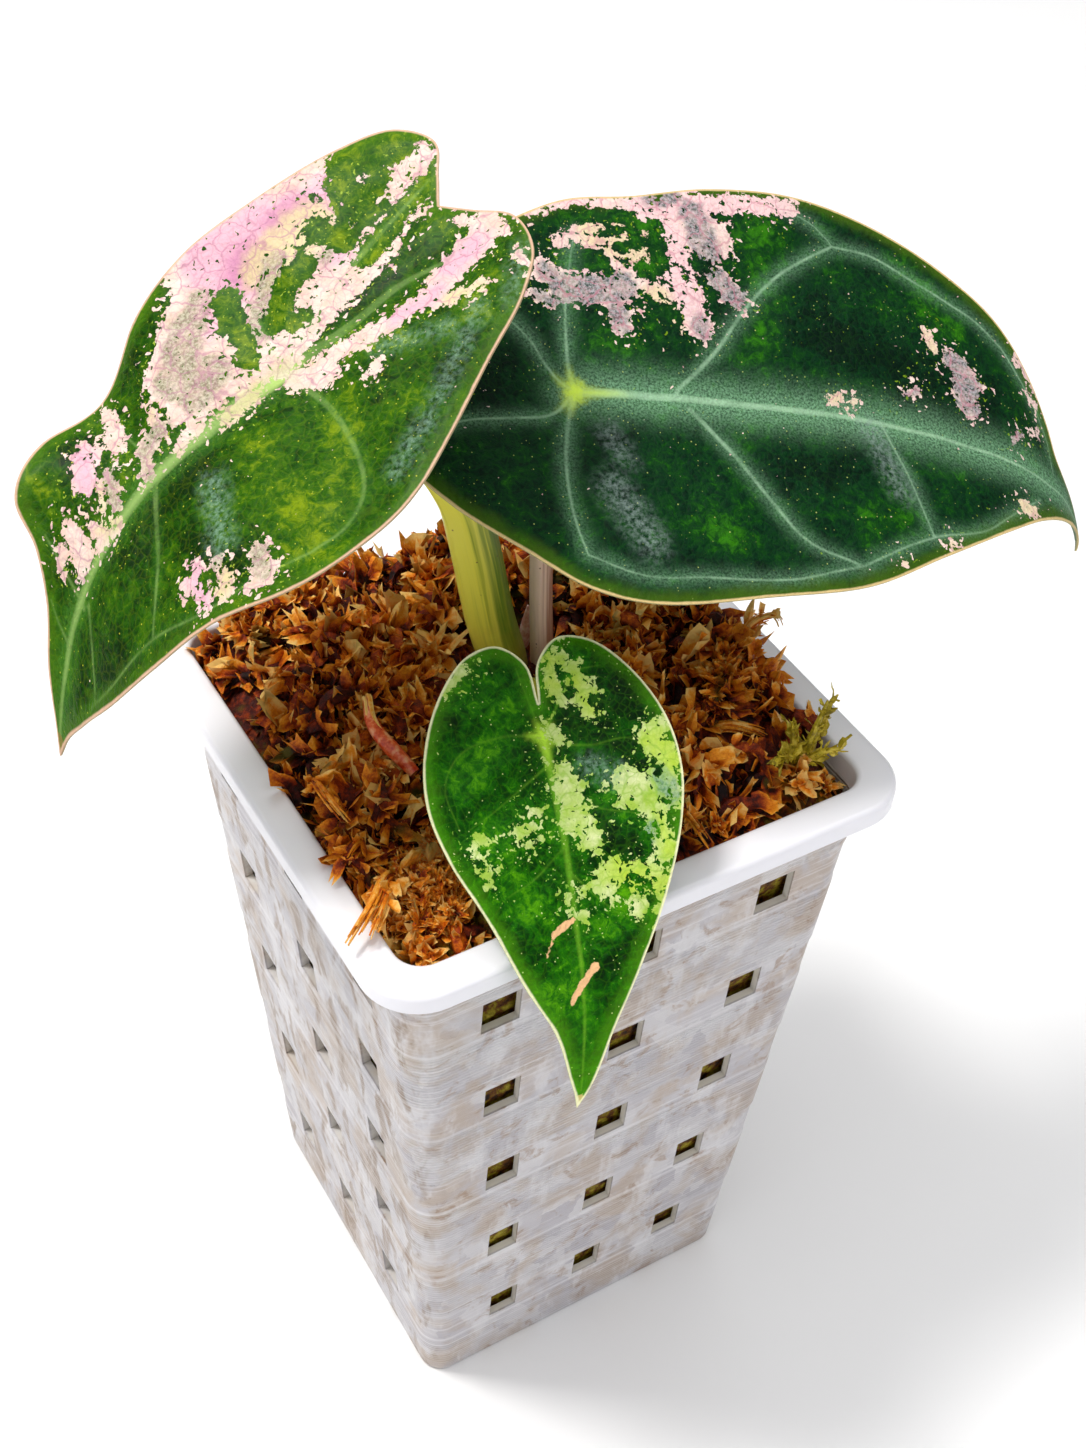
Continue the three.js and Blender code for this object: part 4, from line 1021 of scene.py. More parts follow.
def tube_frames(path):
    """Two directions across the path at each of its points, turning as little as possible"""
    tangents = np.gradient(path, axis=0)
    tangents /= np.linalg.norm(tangents, axis=1)[:, None]
    helper = np.array([0, 0, 1.0]) if abs(tangents[0][2]) < 0.9 else np.array([1.0, 0, 0])
    side = np.cross(tangents[0], helper)
    sides = []
    for tangent in tangents:
        side = side - tangent * (side @ tangent)
        side /= np.linalg.norm(side)
        sides.append(side)
    sides = np.array(sides)
    return tangents, sides, np.cross(tangents, sides)


def ring_faces(levels, count, top=True):
    """Faces between rings of points one after the other, with the ends closed"""
    faces = []
    for level in range(levels - 1):
        for i in range(count):
            j = (i + 1) % count
            low, high = level * count, (level + 1) * count
            faces.append((low + i, low + j, high + j, high + i))
    faces.append(tuple(range(count - 1, -1, -1)))
    if top:
        faces.append(tuple(range((levels - 1) * count, levels * count)))
    return faces


def tube(path, radii, sides, ridges=0, ridge_depth=0.0):
    """Closed tube along a path, with lengthwise ridges where wanted"""
    _, across, upward = tube_frames(path)
    angle = np.linspace(0, 2 * np.pi, sides, endpoint=False)
    shape = 1 + ridge_depth * np.cos(ridges * angle)
    rings = (
        path[:, None]
        + (np.cos(angle) * shape)[None, :, None] * across[:, None] * radii[:, None, None]
        + (np.sin(angle) * shape)[None, :, None] * upward[:, None] * radii[:, None, None]
    )
    around = np.tile(angle / (2 * np.pi), len(path))
    lengthwise = np.repeat(np.linspace(0, 1, len(path)), sides)
    return rings.reshape(-1, 3), ring_faces(len(path), sides), around, lengthwise


def spread(values, count):
    return np.interp(np.linspace(0, 1, count), np.linspace(0, 1, len(values)), values)


def stalk(name, route, radii, leaf, material, slot, node, ridges):
    """A petiole that ends in a short neck under its blade"""
    surface = BladeSurface(leaf)
    zero = np.zeros(1)
    neck = [surface.point(zero, zero, [-SEAT - drop])[0] for drop in (PETIOLE_NECK, 0)]
    path = smooth_curve([*route, *neck], 0.5)
    radius = spread(radii, len(path))
    points, faces, around, lengthwise = tube(path, radius, 32, ridges, 0.035)
    parts = Parts("around", "lengthwise")
    parts.add(points, faces, around=around, lengthwise=lengthwise)
    piece = parts.finish(name, material, slot)
    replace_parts(piece, node)
    return piece


def petiole_material(name, light, deep, base, speck):
    """Satin stalk with lengthwise streaks, painted shade on one side and painted light on the other, a
    brownish base and small specks
    """
    shader = Shader(name)
    where = shader.position()
    around = shader.field("around")
    lengthwise = shader.field("lengthwise")
    streaks = shader.node("CombineXYZ", {"X": around * 26.0, "Y": lengthwise * 2.4}, "Vector")
    streak = shader.noise(streaks, 1.0, 3.0, 0.55)
    # Painted light and painted shade: a sine around the stalk makes one side light and the other side
    # dark.
    share = shader.math("SINE", around * (2 * math.pi)) * 0.32 + streak
    color = shader.mix(shader.range(share, 0.25, 0.75), deep, light)
    patches = shader.noise(where, 0.35, 3.0, 0.6)
    height = lengthwise + patches * 0.22
    foot = shader.range(height, 0.12, 0.42, 0.6, 0.0)
    color = shader.mix(foot, color, base)
    distance, rank = shader.cell(where, 1.25)
    mark = shader.range(distance, 0.1, 0.2, 1.0, 0.0) * shader.range(rank, 0.7, 0.74)
    color = shader.mix(mark * 0.8, color, speck)
    normal = shader.bump(streak, 0.00015, 0.7)
    return shader.finish(
        Base_Color=color, Roughness=0.42, Normal=normal, Coat_Weight=0.15, Coat_Roughness=0.35,
        Subsurface_Weight=0.12, Subsurface_Radius=(0.001, 0.0012, 0.0004),
    )


def rounded_square(half, radius, z, corner_steps=10):
    """Ring of points, anticlockwise seen from above"""
    ring = []
    for corner in range(4):
        diagonal = (corner + 0.5) * math.pi / 2
        centre = (half - radius) * math.sqrt(2)
        for step in range(corner_steps + 1):
            angle = (corner + step / corner_steps) * math.pi / 2
            ring.append((
                centre * math.cos(diagonal) + radius * math.cos(angle),
                centre * math.sin(diagonal) + radius * math.sin(angle),
                z,
            ))
    return ring


def wall_half(z):
    return WALL_BASE_HALF + (WALL_TOP_HALF - WALL_BASE_HALF) * z / POT_HEIGHT


def wall_radius(z):
    return WALL_BASE_RADIUS + (WALL_TOP_RADIUS - WALL_BASE_RADIUS) * z / POT_HEIGHT


def pot_profile():
    """Half-width, corner radius and height, from the outer bottom over the rim to the floor"""
    profile = []
    for turn in (0, 22, 45, 67, 90):
        angle = math.radians(turn)
        inset = 0.7 * (1 - math.sin(angle))
        z = 0.7 * (1 - math.cos(angle))
        profile.append((wall_half(z) - inset, wall_radius(z) - inset, z))
    for row in range(HOLE_ROWS):
        middle = LOWEST_ROW + ROW_PITCH * row
        for z, depth in (
            (middle - BAND_HALF_HEIGHT - 0.12, 0), (middle - BAND_HALF_HEIGHT + 0.12, BAND_DEPTH),
            (middle + BAND_HALF_HEIGHT - 0.12, BAND_DEPTH), (middle + BAND_HALF_HEIGHT + 0.12, 0),
        ):
            profile.append((wall_half(z) - depth, wall_radius(z) - depth, z))
    under = POT_HEIGHT - FLANGE_THICKNESS
    foot = POT_HEIGHT - SKIRT_HEIGHT
    profile.append((wall_half(under), wall_radius(under), under))
    profile.append((RIM_HALF - SKIRT_THICKNESS, RIM_RADIUS - SKIRT_THICKNESS, under))
    profile.append((RIM_HALF - SKIRT_THICKNESS, RIM_RADIUS - SKIRT_THICKNESS, foot + 0.25))
    profile.append((RIM_HALF - SKIRT_THICKNESS + 0.2, RIM_RADIUS - 0.8, foot))
    profile.append((RIM_HALF - 0.25, RIM_RADIUS - 0.25, foot))
    profile.append((RIM_HALF, RIM_RADIUS, foot + 0.25))
    for turn in (0, 18, 36, 54, 72, 90):
        angle = math.radians(turn)
        inset = 0.8 * (1 - math.cos(angle))
        profile.append((RIM_HALF - inset, RIM_RADIUS - inset, POT_HEIGHT - 0.8 * (1 - math.sin(angle))))
    inner = wall_half(POT_HEIGHT) - WALL_THICKNESS
    inner_radius = wall_radius(POT_HEIGHT) - WALL_THICKNESS
    for turn in (90, 60, 30, 0):
        angle = math.radians(turn)
        inset = 0.7 * (1 - math.cos(angle))
        profile.append((inner + inset, inner_radius + inset, POT_HEIGHT - 0.7 * (1 - math.sin(angle))))
    for z in (70, 30, FLOOR_THICKNESS):
        profile.append((wall_half(z) - WALL_THICKNESS, wall_radius(z) - WALL_THICKNESS, z))
    return profile


def box_faces(base):
    return [tuple(base + i for i in face) for face in (
        (0, 3, 2, 1), (4, 5, 6, 7), (0, 1, 5, 4), (1, 2, 6, 5), (2, 3, 7, 6), (3, 0, 4, 7),
    )]


def hole_cutters():
    """Boxes where the side holes and the drain holes go"""
    points, faces = [], []

    def box(centre, size, turns):
        corners = [(-1, -1, -1), (1, -1, -1), (1, 1, -1), (-1, 1, -1)]
        corners += [(-1, -1, 1), (1, -1, 1), (1, 1, 1), (-1, 1, 1)]
        faces.extend(box_faces(len(points)))
        for corner in corners:
            x, y, z = (centre[k] + corner[k] * size[k] / 2 for k in range(3))
            for _ in range(turns):
                x, y = -y, x
            points.append((x, y, z))

    for row in range(HOLE_ROWS):
        z = LOWEST_ROW + ROW_PITCH * row
        half = wall_half(z)
        for column in (-1, 0, 1):
            for turns in range(4):
                centre = (column * (half - HOLE_TO_CORNER), -half, z)
                box(centre, (half * HOLE_WIDTH_SHARE, WALL_THICKNESS * 4, HOLE_HEIGHT), turns)
    for x in (-1, 0, 1):
        for y in (-1, 0, 1):
            if (x, y) != (0, 0):
                centre = (x * DRAIN_PITCH, y * DRAIN_PITCH, 0)
                box(centre, (DRAIN_HOLE, DRAIN_HOLE, FLOOR_THICKNESS * 4), 0)
    return points, faces


def stained_wall(shader, where, lines, spot):
    """Colour of the wall with what shows through it: clouds, flakes and brown stains"""
    facing = shader.axis(shader.node("TexCoord", {}, "Normal"), "X")
    side_wall = shader.range(shader.math("ABSOLUTE", facing), 0.3, 0.8)
    tall = shader.stretched(where, (1, 1, 0.4))
    upright = shader.range(shader.noise(tall, 0.3, 3.0, 0.6, 0.5), 0.5, 0.66)
    cloud = shader.range(shader.noise(where, 0.11, 4.0, 0.6, 0.4), 0.44, 0.64)
    light = shader.range(shader.noise(tall, 0.2, 4.0, 0.65), 0.5, 0.64)
    _, flake = shader.cell(shader.jittered(where, 0.5, 3.0), 0.24)
    wall = shader.mix(shader.axis(flake, "X"), "b4b0b6", "cfccce")
    for share, code in (
        (cloud * 0.65, "b39c84"),
        (light * 0.6, "dedcde"),
        (spot * (0.6 - side_wall * 0.4), "94704c"),
        (upright * side_wall * 0.8, "86694a"),
        (shader.range(lines, 0.5, 0.7, 0.0, 0.5), "e6e4e6"),
    ):
        wall = shader.mix(share, wall, code)
    return wall


def jambs_with_painted_light(shader, where, wall):
    """The wall's colour, lighter on the cut faces inside the holes: painted light where the jambs fall
    in shade
    """
    z = shader.axis(where, "Z")
    across, deep = (shader.math("ABSOLUTE", shader.axis(where, name)) for name in "XY")
    outward = shader.math("MAXIMUM", across, deep)
    inward = shader.math("MINIMUM", across, deep)
    face = z * ((WALL_TOP_HALF - WALL_BASE_HALF) / POT_HEIGHT) + WALL_BASE_HALF
    cut = shader.range(face - outward, 0.25, 0.5) * shader.range(face - inward, 6.0, 6.5)
    beside = shader.range(across - deep, 0.0, 1.0, 0.95, 0.5)
    return shader.mix(cut * beside, wall, "f2eee6")


def pot_material():
    """Milky plastic: fine grooves between plain bands, and moss that shows through as stains"""
    shader = Shader("milky_plastic")
    where = shader.position()
    z = shader.axis(where, "Z")
    from_row = shader.math("PINGPONG", z - LOWEST_ROW, ROW_PITCH / 2)
    grooved = shader.range(from_row, BAND_HALF_HEIGHT, BAND_HALF_HEIGHT + 0.4)
    wave = shader.math("SINE", z * (2 * math.pi / GROOVE_PITCH))
    lines = shader.noise(shader.stretched(where, (0.06, 0.06, 1.7)), 1.0, 4.0, 0.7)
    skirt = POT_HEIGHT - SKIRT_HEIGHT
    below = shader.range(z, skirt - 0.6, skirt, 1.0, 0.0)
    spot = shader.range(shader.noise(where, 0.26, 4.0, 0.65, 0.6), 0.56, 0.68)
    wall = stained_wall(shader, where, lines, spot)
    # Painted highlight: light lines at and beside the edges of the plain bands, where the moulded steps
    # catch light.
    for offset, share in ((0.0, 0.4), (1.5, 0.2)):
        gap = shader.math("ABSOLUTE", from_row - (BAND_HALF_HEIGHT + offset))
        wall = shader.mix(shader.range(gap, 0.05, 0.3, share, 0.0), wall, "eceaec")
    color = shader.mix(below, "f2f1f7", jambs_with_painted_light(shader, where, wall))
    grain = wave * grooved * 0.7 + lines * 2.4 + spot * 0.8
    return shader.finish(
        Base_Color=color, Roughness=0.25 + below * 0.08, Specular_IOR_Level=0.5,
        Normal=shader.bump(grain * below, 0.00008, 0.9),
        Subsurface_Weight=0.12, Subsurface_Radius=(0.0012, 0.0011, 0.001),
    )


def net_pot():
    rings = [rounded_square(*level) for level in pot_profile()]
    points = [point for ring in rings for point in ring]
    faces = ring_faces(len(rings), len(rings[0]))
    pot = make_object("pot", points, faces, pot_material(), smooth_angle=35)
    cutter_mesh = bpy.data.meshes.new("hole_cutters")
    cut_points, cut_faces = hole_cutters()
    cutter_mesh.from_pydata((np.array(cut_points) * MM).tolist(), [], cut_faces)
    cutter = bpy.data.objects.new("hole_cutters", cutter_mesh)
    bpy.context.scene.collection.objects.link(cutter)
    cut = pot.modifiers.new("holes", "BOOLEAN")
    cut.object = cutter
    cut.solver = "EXACT"
    graph = bpy.context.evaluated_depsgraph_get()
    carved = bpy.data.meshes.new_from_object(pot.evaluated_get(graph))
    pot.modifiers.clear()
    pot.data = carved
    bpy.data.objects.remove(cutter)
    bpy.data.meshes.remove(cutter_mesh)
    carved.set_sharp_from_angle(angle=math.radians(35))
    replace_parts(pot, "net_pot")
    return pot


def moss_top(x, y):
    """Height of the moss surface"""
    back = (x + y) / math.sqrt(2)
    right = (x - y) / math.sqrt(2)
    dip = MOSS_RIGHT_DIP * np.clip(right - MOSS_RIGHT_DIP_FROM, 0, None) ** 2
    lumps = np.sin(0.41 * x + 1.3) * np.cos(0.37 * y - 0.6) + 0.6 * np.sin(0.83 * x - 0.71 * y)
    rise = MOSS_CROWN + MOSS_BACK_SLOPE * back - dip + MOSS_LUMPS * lumps
    outward = np.maximum(abs(x), abs(y)) / (WALL_TOP_HALF - WALL_THICKNESS)
    edge = smooth(outward, MOSS_SHOULDER, 1)
    return POT_HEIGHT + rise - edge * (MOSS_EDGE_SINK * np.clip(rise, 0, None) + MOSS_EDGE_DROP)


def moss_material(name, stops, gloss):
    """Damp moss: dark at the root of each scale, golden at its tip, olive where it is buried"""
    shader = Shader(name)
    where = shader.position()
    patchy = shader.noise(where, 1.1, 4.0, 0.7)
    blend = shader.field("tip") * 0.46 + shader.field("tint") * 0.72
    color = shader.ramp(blend + (patchy - 0.5) * 1.0, stops)
    olive = shader.range(shader.noise(where, 0.13, 3.0, 0.6), 0.58, 0.7, 0.0, 0.7)
    color = shader.mix(olive, color, "5e5a0c")
    buried = shader.range(shader.axis(where, "Z"), *BURIED_HEIGHTS, 1.0, 0.0)
    pressed = shader.ramp(shader.noise(where, 0.7, 4.0, 0.65), [
        (0.36, "160a02"), (0.48, "6c3c06"), (0.56, "8a7c10"),
        (0.68, "bca83a"),
    ])
    color = shader.mix(buried, color, pressed)
    fibre = shader.noise(where, 3.0, 4.0, 0.7)
    return shader.finish(
        Base_Color=color, Roughness=gloss + fibre * 0.4, Specular_IOR_Level=0.3,
        Normal=shader.bump(fibre, 0.0003, 0.9),
        Subsurface_Weight=0.06, Subsurface_Radius=(0.0012, 0.0006, 0.0003),
    )


MOSS_STOPS = [
    (0.0, "120100"), (0.2, "500e00"), (0.38, "9c3600"),
    (0.56, "d87000"), (0.76, "f69c1c"), (1.0, "ffd078"),
]


def near_stalk(x, y, margin):
    spots = ((0, 4.4, 3.2), (5.2, 3.1, 1.6), (4.9, 6.5, 1.1), (0, -4, 2.2))
    return any(math.hypot(x - sx, y - sy) < radius + margin for sx, sy, radius in spots)


def keep_in_pot(points):
    """Moss points below the top of the rim, moved inside the wall where they cross it"""
    points = points.copy()
    low = points[:, 2] < POT_HEIGHT + 0.4
    flat = points[low, :2]
    radius = wall_radius(points[low, 2]) - WALL_THICKNESS
    core = wall_half(points[low, 2]) - WALL_THICKNESS - 0.15 - radius
    outside = np.clip(abs(flat) - core[:, None], 0, None)
    reach = np.hypot(*outside.T)
    share = np.minimum(1, radius / np.maximum(reach, 1e-6))
    inside = np.minimum(abs(flat), core[:, None]) + outside * share[:, None]
    points[low, :2] = np.sign(flat) * inside
    return points


def finish_moss(parts, name, material):
    """Keep the moss inside the wall and paint shade on what lies deep, so gaps read as gaps"""
    points = keep_in_pot(np.vstack(parts.points))
    depth = moss_top(points[:, 0], points[:, 1]) + 1.4 - points[:, 2]
    tint = np.concatenate(parts.fields["tint"]) - DEPTH_SHADE * np.clip(depth, -1.2, 3.5)
    parts.points = [points]
    parts.fields["tint"] = [np.clip(tint, 0, 1)]
    return parts.finish(name, material, "sphagnum_moss", 30)


def scale_leaf(parts, root, outward, forward, length, width, tint, rng):
    """One crumpled flake: it leaves the strand outward and leans along it"""
    lean = rng.uniform(0.15, 0.9)
    direction = outward * math.sin(lean) + forward * math.cos(lean)
    side = np.cross(direction, outward)
    side /= np.linalg.norm(side) + 1e-9
    normal = np.cross(side, direction)
    curl = rng.uniform(-0.3, 0.7)
    twist = rng.uniform(-1.1, 1.1)
    hollow = rng.uniform(-0.2, 0.65)
    points = []
    shape = ((0.0, 0.7), (0.3, 1.0), (0.65, 0.95), (1.0, rng.uniform(0.2, 0.9)))
    for along, wide in shape:
        centre = root + direction * (length * along) + normal * (curl * length * along * along)
        turned = side * math.cos(twist * along) + normal * math.sin(twist * along)
        for across in (-1, -0.35, 0.35, 1):
            torn = rng.uniform(0.6, 1.3) if abs(across) == 1 else 1
            height = hollow * width * wide * across * across + rng.uniform(-0.09, 0.09) * width
            jag = rng.uniform(-0.3, 0.3) * length * along * along
            points.append(
                centre + turned * (0.5 * width * wide * across * torn) + normal * height
                + direction * jag
            )
    faces = []
    for row in range(len(shape) - 1):
        for column in range(3):
            a = row * 4 + column
            faces.append((a, a + 1, a + 5, a + 4))
    tips = [along + (0.3 if column in (0, 3) else -0.2) for along, _ in shape for column in range(4)]
    parts.add(points, faces, tip=tips, tint=tint)


def varied(tint, darker, lighter, rng):
    """The tint, a little darker or lighter, between 0 and 1"""
    return min(1.0, max(0.0, tint + rng.uniform(darker, lighter)))


def mossy_strand(parts, route, radius, scales, tint, rng, length=2.9):
    """A stem with overlapping scales all round it"""
    path = smooth_curve(route, 0.9)
    radii = spread([radius, radius * 0.95, radius * 0.8, radius * 0.3], len(path))
    points, faces, _, _ = tube(path, radii, 6)
    parts.add(points, faces, tip=0.0, tint=tint * 0.6)
    tangents, across, upward = tube_frames(path)
    for k in range(scales):
        at = (k + rng.uniform(0, 1)) / scales * (len(path) - 1.01)
        i = int(at)
        centre = path[i] + (path[i + 1] - path[i]) * (at - i)
        angle = k * 2.4 + rng.uniform(-0.3, 0.3)
        outward = across[i] * math.cos(angle) + upward[i] * math.sin(angle)
        size = length * (0.4 + 0.9 * rng.random() ** 1.6)
        root = centre + outward * radii[i] * 0.6
        shade = varied(tint, -0.2, 0.2, rng)
        scale_leaf(parts, root, outward, tangents[i], size, size * rng.uniform(0.45, 0.9), shade, rng)


def moss_point(x, y, lift):
    return (x, y, float(moss_top(np.float64(x), np.float64(y))) + lift)


def strand_in_clump(parts, x, y, lift, tint, reach, rng):
    """One strand that arches up out of its clump and down again beside it"""
    heading = rng.uniform(0, 2 * math.pi)
    length = rng.uniform(4, 9)
    arch = rng.uniform(0.6, 2.6)
    x, y = x + rng.gauss(0, 1.8), y + rng.gauss(0, 1.8)
    route = []
    for share, rise in ((0, -1.6), (0.3, arch), (0.65, arch * 0.7), (1, rng.uniform(-2.2, 0.4))):
        turn = heading + share * rng.uniform(-0.8, 0.8)
        px = min(reach, max(-reach, x + math.cos(turn) * length * share))
        py = min(reach, max(-reach, y + math.sin(turn) * length * share))
        route.append(moss_point(px, py, lift + rise))
    if any(near_stalk(px, py, 1.4) for px, py, _ in route):
        return
    shade = min(0.98, max(0.04, tint + rng.uniform(-0.16, 0.16)))
    mossy_strand(parts, route, rng.uniform(0.5, 1.3), int(length * 3), shade, rng)


def strand_layer(seed, clumps, strands, reach, low, high):
    """Clumps of arching strands, each clump with a colour and a height of its own, with painted shadow
    toward the right
    """
    rng = random.Random(seed)
    parts = Parts("tip", "tint")
    for _ in range(clumps):
        x, y = rng.uniform(-reach, reach), rng.uniform(-reach, reach)
        # Painted shadow: clumps toward the right side, under the right leaf, are darker.
        painted_shadow = 0.14 * float(smooth((x - y) / math.sqrt(2), 5, 25))
        tint = 0.45 - painted_shadow + rng.uniform(-0.36, 0.36)
        lift = rng.uniform(low, high)
        for _ in range(strands):
            strand_in_clump(parts, x, y, lift, tint, reach, rng)
    return parts


def straw_flakes(parts, seed, count, reach):
    """Broad curled flakes that lie loose on the moss"""
    rng = random.Random(seed)
    made = 0
    while made < count:
        x, y = rng.uniform(-reach, reach) * 0.94, rng.uniform(-reach, reach) * 0.94
        if near_stalk(x, y, 3.5):
            continue
        heading, tilt = rng.uniform(0, 2 * math.pi), rng.uniform(0.1, 0.9)
        forward = np.array([
            math.cos(heading) * math.cos(tilt), math.sin(heading) * math.cos(tilt), math.sin(tilt),
        ])
        outward = np.array([rng.uniform(-0.4, 0.4), rng.uniform(-0.4, 0.4), 1.0])
        outward -= forward * (outward @ forward)
        outward /= np.linalg.norm(outward)
        root = np.array(moss_point(x, y, rng.uniform(0.2, 1.6)))
        length = rng.uniform(2.4, 5)
        scale_leaf(
            parts, root, outward, forward, length, length * rng.uniform(0.3, 0.65),
            rng.uniform(0.35, 0.95), rng,
        )
        made += 1


def fibre_bundle(parts, route, count, reach, tint, rng):
    """Frayed strand: thin fibres that part toward the free end"""
    path = smooth_curve(route, 0.7)
    _, across, upward = tube_frames(path)
    share = np.linspace(0, 1, len(path))[:, None]
    for _ in range(count):
        angle = rng.uniform(0, 2 * math.pi)
        wander = angle + share * rng.uniform(-1.5, 1.5)
        offset = across * np.cos(wander) + upward * np.sin(wander)
        fibre = path + offset * (reach * rng.uniform(0.2, 1) * (0.5 + 0.5 * share))
        fibre = fibre[:max(4, int(len(path) * rng.uniform(0.7, 1)))]
        radius = rng.uniform(0.12, 0.34)
        radii = spread([radius, radius, radius * 0.8, radius * 0.3], len(fibre))
        points, faces, _, _ = tube(fibre, radii, 5)
        shade = varied(tint, -0.25, 0.3, rng)
        parts.add(points, faces, tip=rng.uniform(0.2, 0.9), tint=shade)


def curl(parts, routes, tint, rng):
    """Pale straw-like ribbons that arch over the moss"""
    for route in routes:
        fibre_bundle(parts, route, 22, 0.9, tint, rng)


def tuft(parts, centre, size, scales, tint, rng):
    """A ball of scales, the crown of a moss plant"""
    for _ in range(scales):
        outward = np.array([rng.gauss(0, 1), rng.gauss(0, 1), rng.gauss(0.4, 1)])
        outward /= np.linalg.norm(outward) + 1e-9
        forward = np.cross(outward, [rng.gauss(0, 1), rng.gauss(0, 1), rng.gauss(0, 1)])
        forward /= np.linalg.norm(forward) + 1e-9
        root = np.array(centre) + outward * size * rng.uniform(0.3, 0.75)
        shade = varied(tint, -0.2, 0.2, rng)
        scale_leaf(
            parts, root, outward, forward, size * rng.uniform(0.6, 1.0), size * rng.uniform(0.45, 0.7),
            shade, rng,
        )


def core_top(parts):
    """Lumpy upper face of the moss"""
    cells = 110
    side = np.linspace(-1, 1, cells)
    half = wall_half(POT_HEIGHT) - WALL_THICKNESS - MOSS_INSET
    u, v = np.meshgrid(side, side)
    corner = 0.12 * half * (u * u * v * v) ** 3 * 0.3
    x, y = u * half - np.sign(u) * corner, v * half - np.sign(v) * corner
    bumps = np.array([
        noise.fractal(Vector((a * 0.45, b * 0.45, 3.0)), 0.6, 2.1, 4)
        for a, b in zip(x.ravel(), y.ravel())
    ]).reshape(x.shape)
    inner = 1 - smooth(np.maximum(abs(u), abs(v)), 0.96, 1)
    z = moss_top(x, y) - 1.6 + 1.1 * bumps * inner
    points = np.stack([x, y, z], axis=-1).reshape(-1, 3)
    faces = []
    for i in range(cells - 1):
        for j in range(cells - 1):
            a = i * cells + j
            faces.append((a, a + 1, a + cells + 1, a + cells))
    # Painted shade: the core is dark, and darker still in the hollows between its bumps, so the gaps
    # between strands read as shade.
    parts.add(points, faces, tip=0.15, tint=0.18 + 0.2 * np.clip(bumps.ravel(), -0.5, 1))


def core_sides(parts):
    """Moss against the inside of the wall, as the holes show it, and over the floor"""
    inset = WALL_THICKNESS + MOSS_INSET
    heights = np.linspace(FLOOR_THICKNESS + MOSS_INSET, POT_HEIGHT - 3.5, 60)
    rings = [rounded_square(wall_half(z) - inset, wall_radius(z) - inset, z, 24) for z in heights]
    walls = np.array([point for ring in rings for point in ring])
    bulge = np.array([noise.fractal(Vector(point) * 0.5, 0.6, 2.1, 3) for point in walls])
    walls[:, :2] *= (1 - 0.02 * np.clip(0.5 + bulge, 0, 1.2))[:, None]
    faces = ring_faces(len(rings), len(rings[0]), top=False)
    parts.add(walls, faces, tip=0.3, tint=0.35 + 0.35 * np.clip(bulge, -0.8, 1))


def moss_core(material):
    """Dark lumpy body of the moss, from the pot's floor to its surface; its dark top is painted shade
    """
    parts = Parts("tip", "tint")
    core_top(parts)
    core_sides(parts)
    core = parts.finish("moss_core", material, "sphagnum_moss", 80)
    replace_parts(core, "sphagnum_moss")


def sphagnum():
    material = moss_material("damp_sphagnum", MOSS_STOPS, 0.3)
    moss_core(material)
    reach = wall_half(POT_HEIGHT) - WALL_THICKNESS - 1.2
    finish_moss(strand_layer(3, MOSS_LOW_CLUMPS, 3, reach, -2.0, -0.6), "moss_strands_low", material)
    finish_moss(strand_layer(8, MOSS_HIGH_CLUMPS, 4, reach, -0.6, 1.2), "moss_strands_high", material)
    rng = random.Random(21)
    parts = Parts("tip", "tint")
    tints = (0.5, 0.6, 0.45, 0.85, 0.4, 0.9, 0.3)
    for number, (route, tint) in enumerate(zip(LOOSE_STRANDS, tints)):
        if number != RED_STRAND:
            mossy_strand(parts, route[:3], 0.7, 16, tint, rng, 2.2)
        fibre_bundle(parts, route, 30 if number < 2 else 16, 0.8, tint, rng)
    straw_flakes(parts, 31, MOSS_FLAKES, reach)
    for _ in range(MOSS_TUFTS):
        x, y = rng.uniform(-reach, reach) * 0.95, rng.uniform(-reach, reach) * 0.95
        if not near_stalk(x, y, 1.5):
            size = rng.uniform(1.5, 3)
            tuft(parts, moss_point(x, y, rng.uniform(-0.4, 0.8)), size, 36, rng.uniform(0.1, 0.75), rng)
    for _ in range(CURLED_TUFTS):
        x, y = rng.gauss(CURLED_CLUMP[0], 2.6), rng.gauss(CURLED_CLUMP[1], 3.2)
        centre = moss_point(min(reach, max(-reach, x)), y, rng.uniform(0.2, 1.8))
        tuft(parts, centre, rng.uniform(1.2, 1.9), 44, rng.uniform(0.2, 0.5), rng)
    curl(parts, STRAW_CURLS, 0.98, rng)
    finish_moss(parts, "moss_tufts", material)


def red_strand():
    """The one smooth reddish stem that stands out of the moss"""
    shader = Shader("reddish_stem")
    where = shader.position()
    streak = shader.noise(where, 0.9, 3.0, 0.6)
    color = shader.ramp(streak, [
        (0.36, "c42c0c"), (0.5, "e4602c"), (0.66, "f6a878"),
    ])
    material = shader.finish(
        Base_Color=color, Roughness=0.3, Normal=shader.bump(streak, 0.0001), Subsurface_Weight=0.1,
        Subsurface_Radius=(0.001, 0.0004, 0.0002),
    )
    path = smooth_curve(LOOSE_STRANDS[RED_STRAND][1:], 0.4)
    points, faces, _, _ = tube(path, spread([0.5, 0.8, 0.95, 0.7], len(path)), 14)
    parts = Parts()
    parts.add(points, faces)
    parts.finish("red_strand", material, "sphagnum_moss")


def sprig():
    shader = Shader("live_moss")
    where = shader.position()
    shade = shader.noise(where, 1.3, 3.0, 0.6)
    color = shader.ramp(shade, [(0.3, "7c6a08"), (0.5, "b8a418"), (0.7, "e4cc50")])
    material = shader.finish(Base_Color=color, Roughness=0.55, Normal=shader.bump(shade, 0.0002))
    rng = random.Random(5)
    parts = Parts("tip", "tint")
    mossy_strand(parts, SPRIG_STEM, 0.55, 40, 0.6, rng, 1.4)
    for route in SPRIG_LEAVES:
        mossy_strand(parts, route, 0.5, 26, 0.7, rng, 1.5)
    piece = parts.finish("sprig", material, "green_moss")
    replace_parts(piece, "green_moss_sprig")


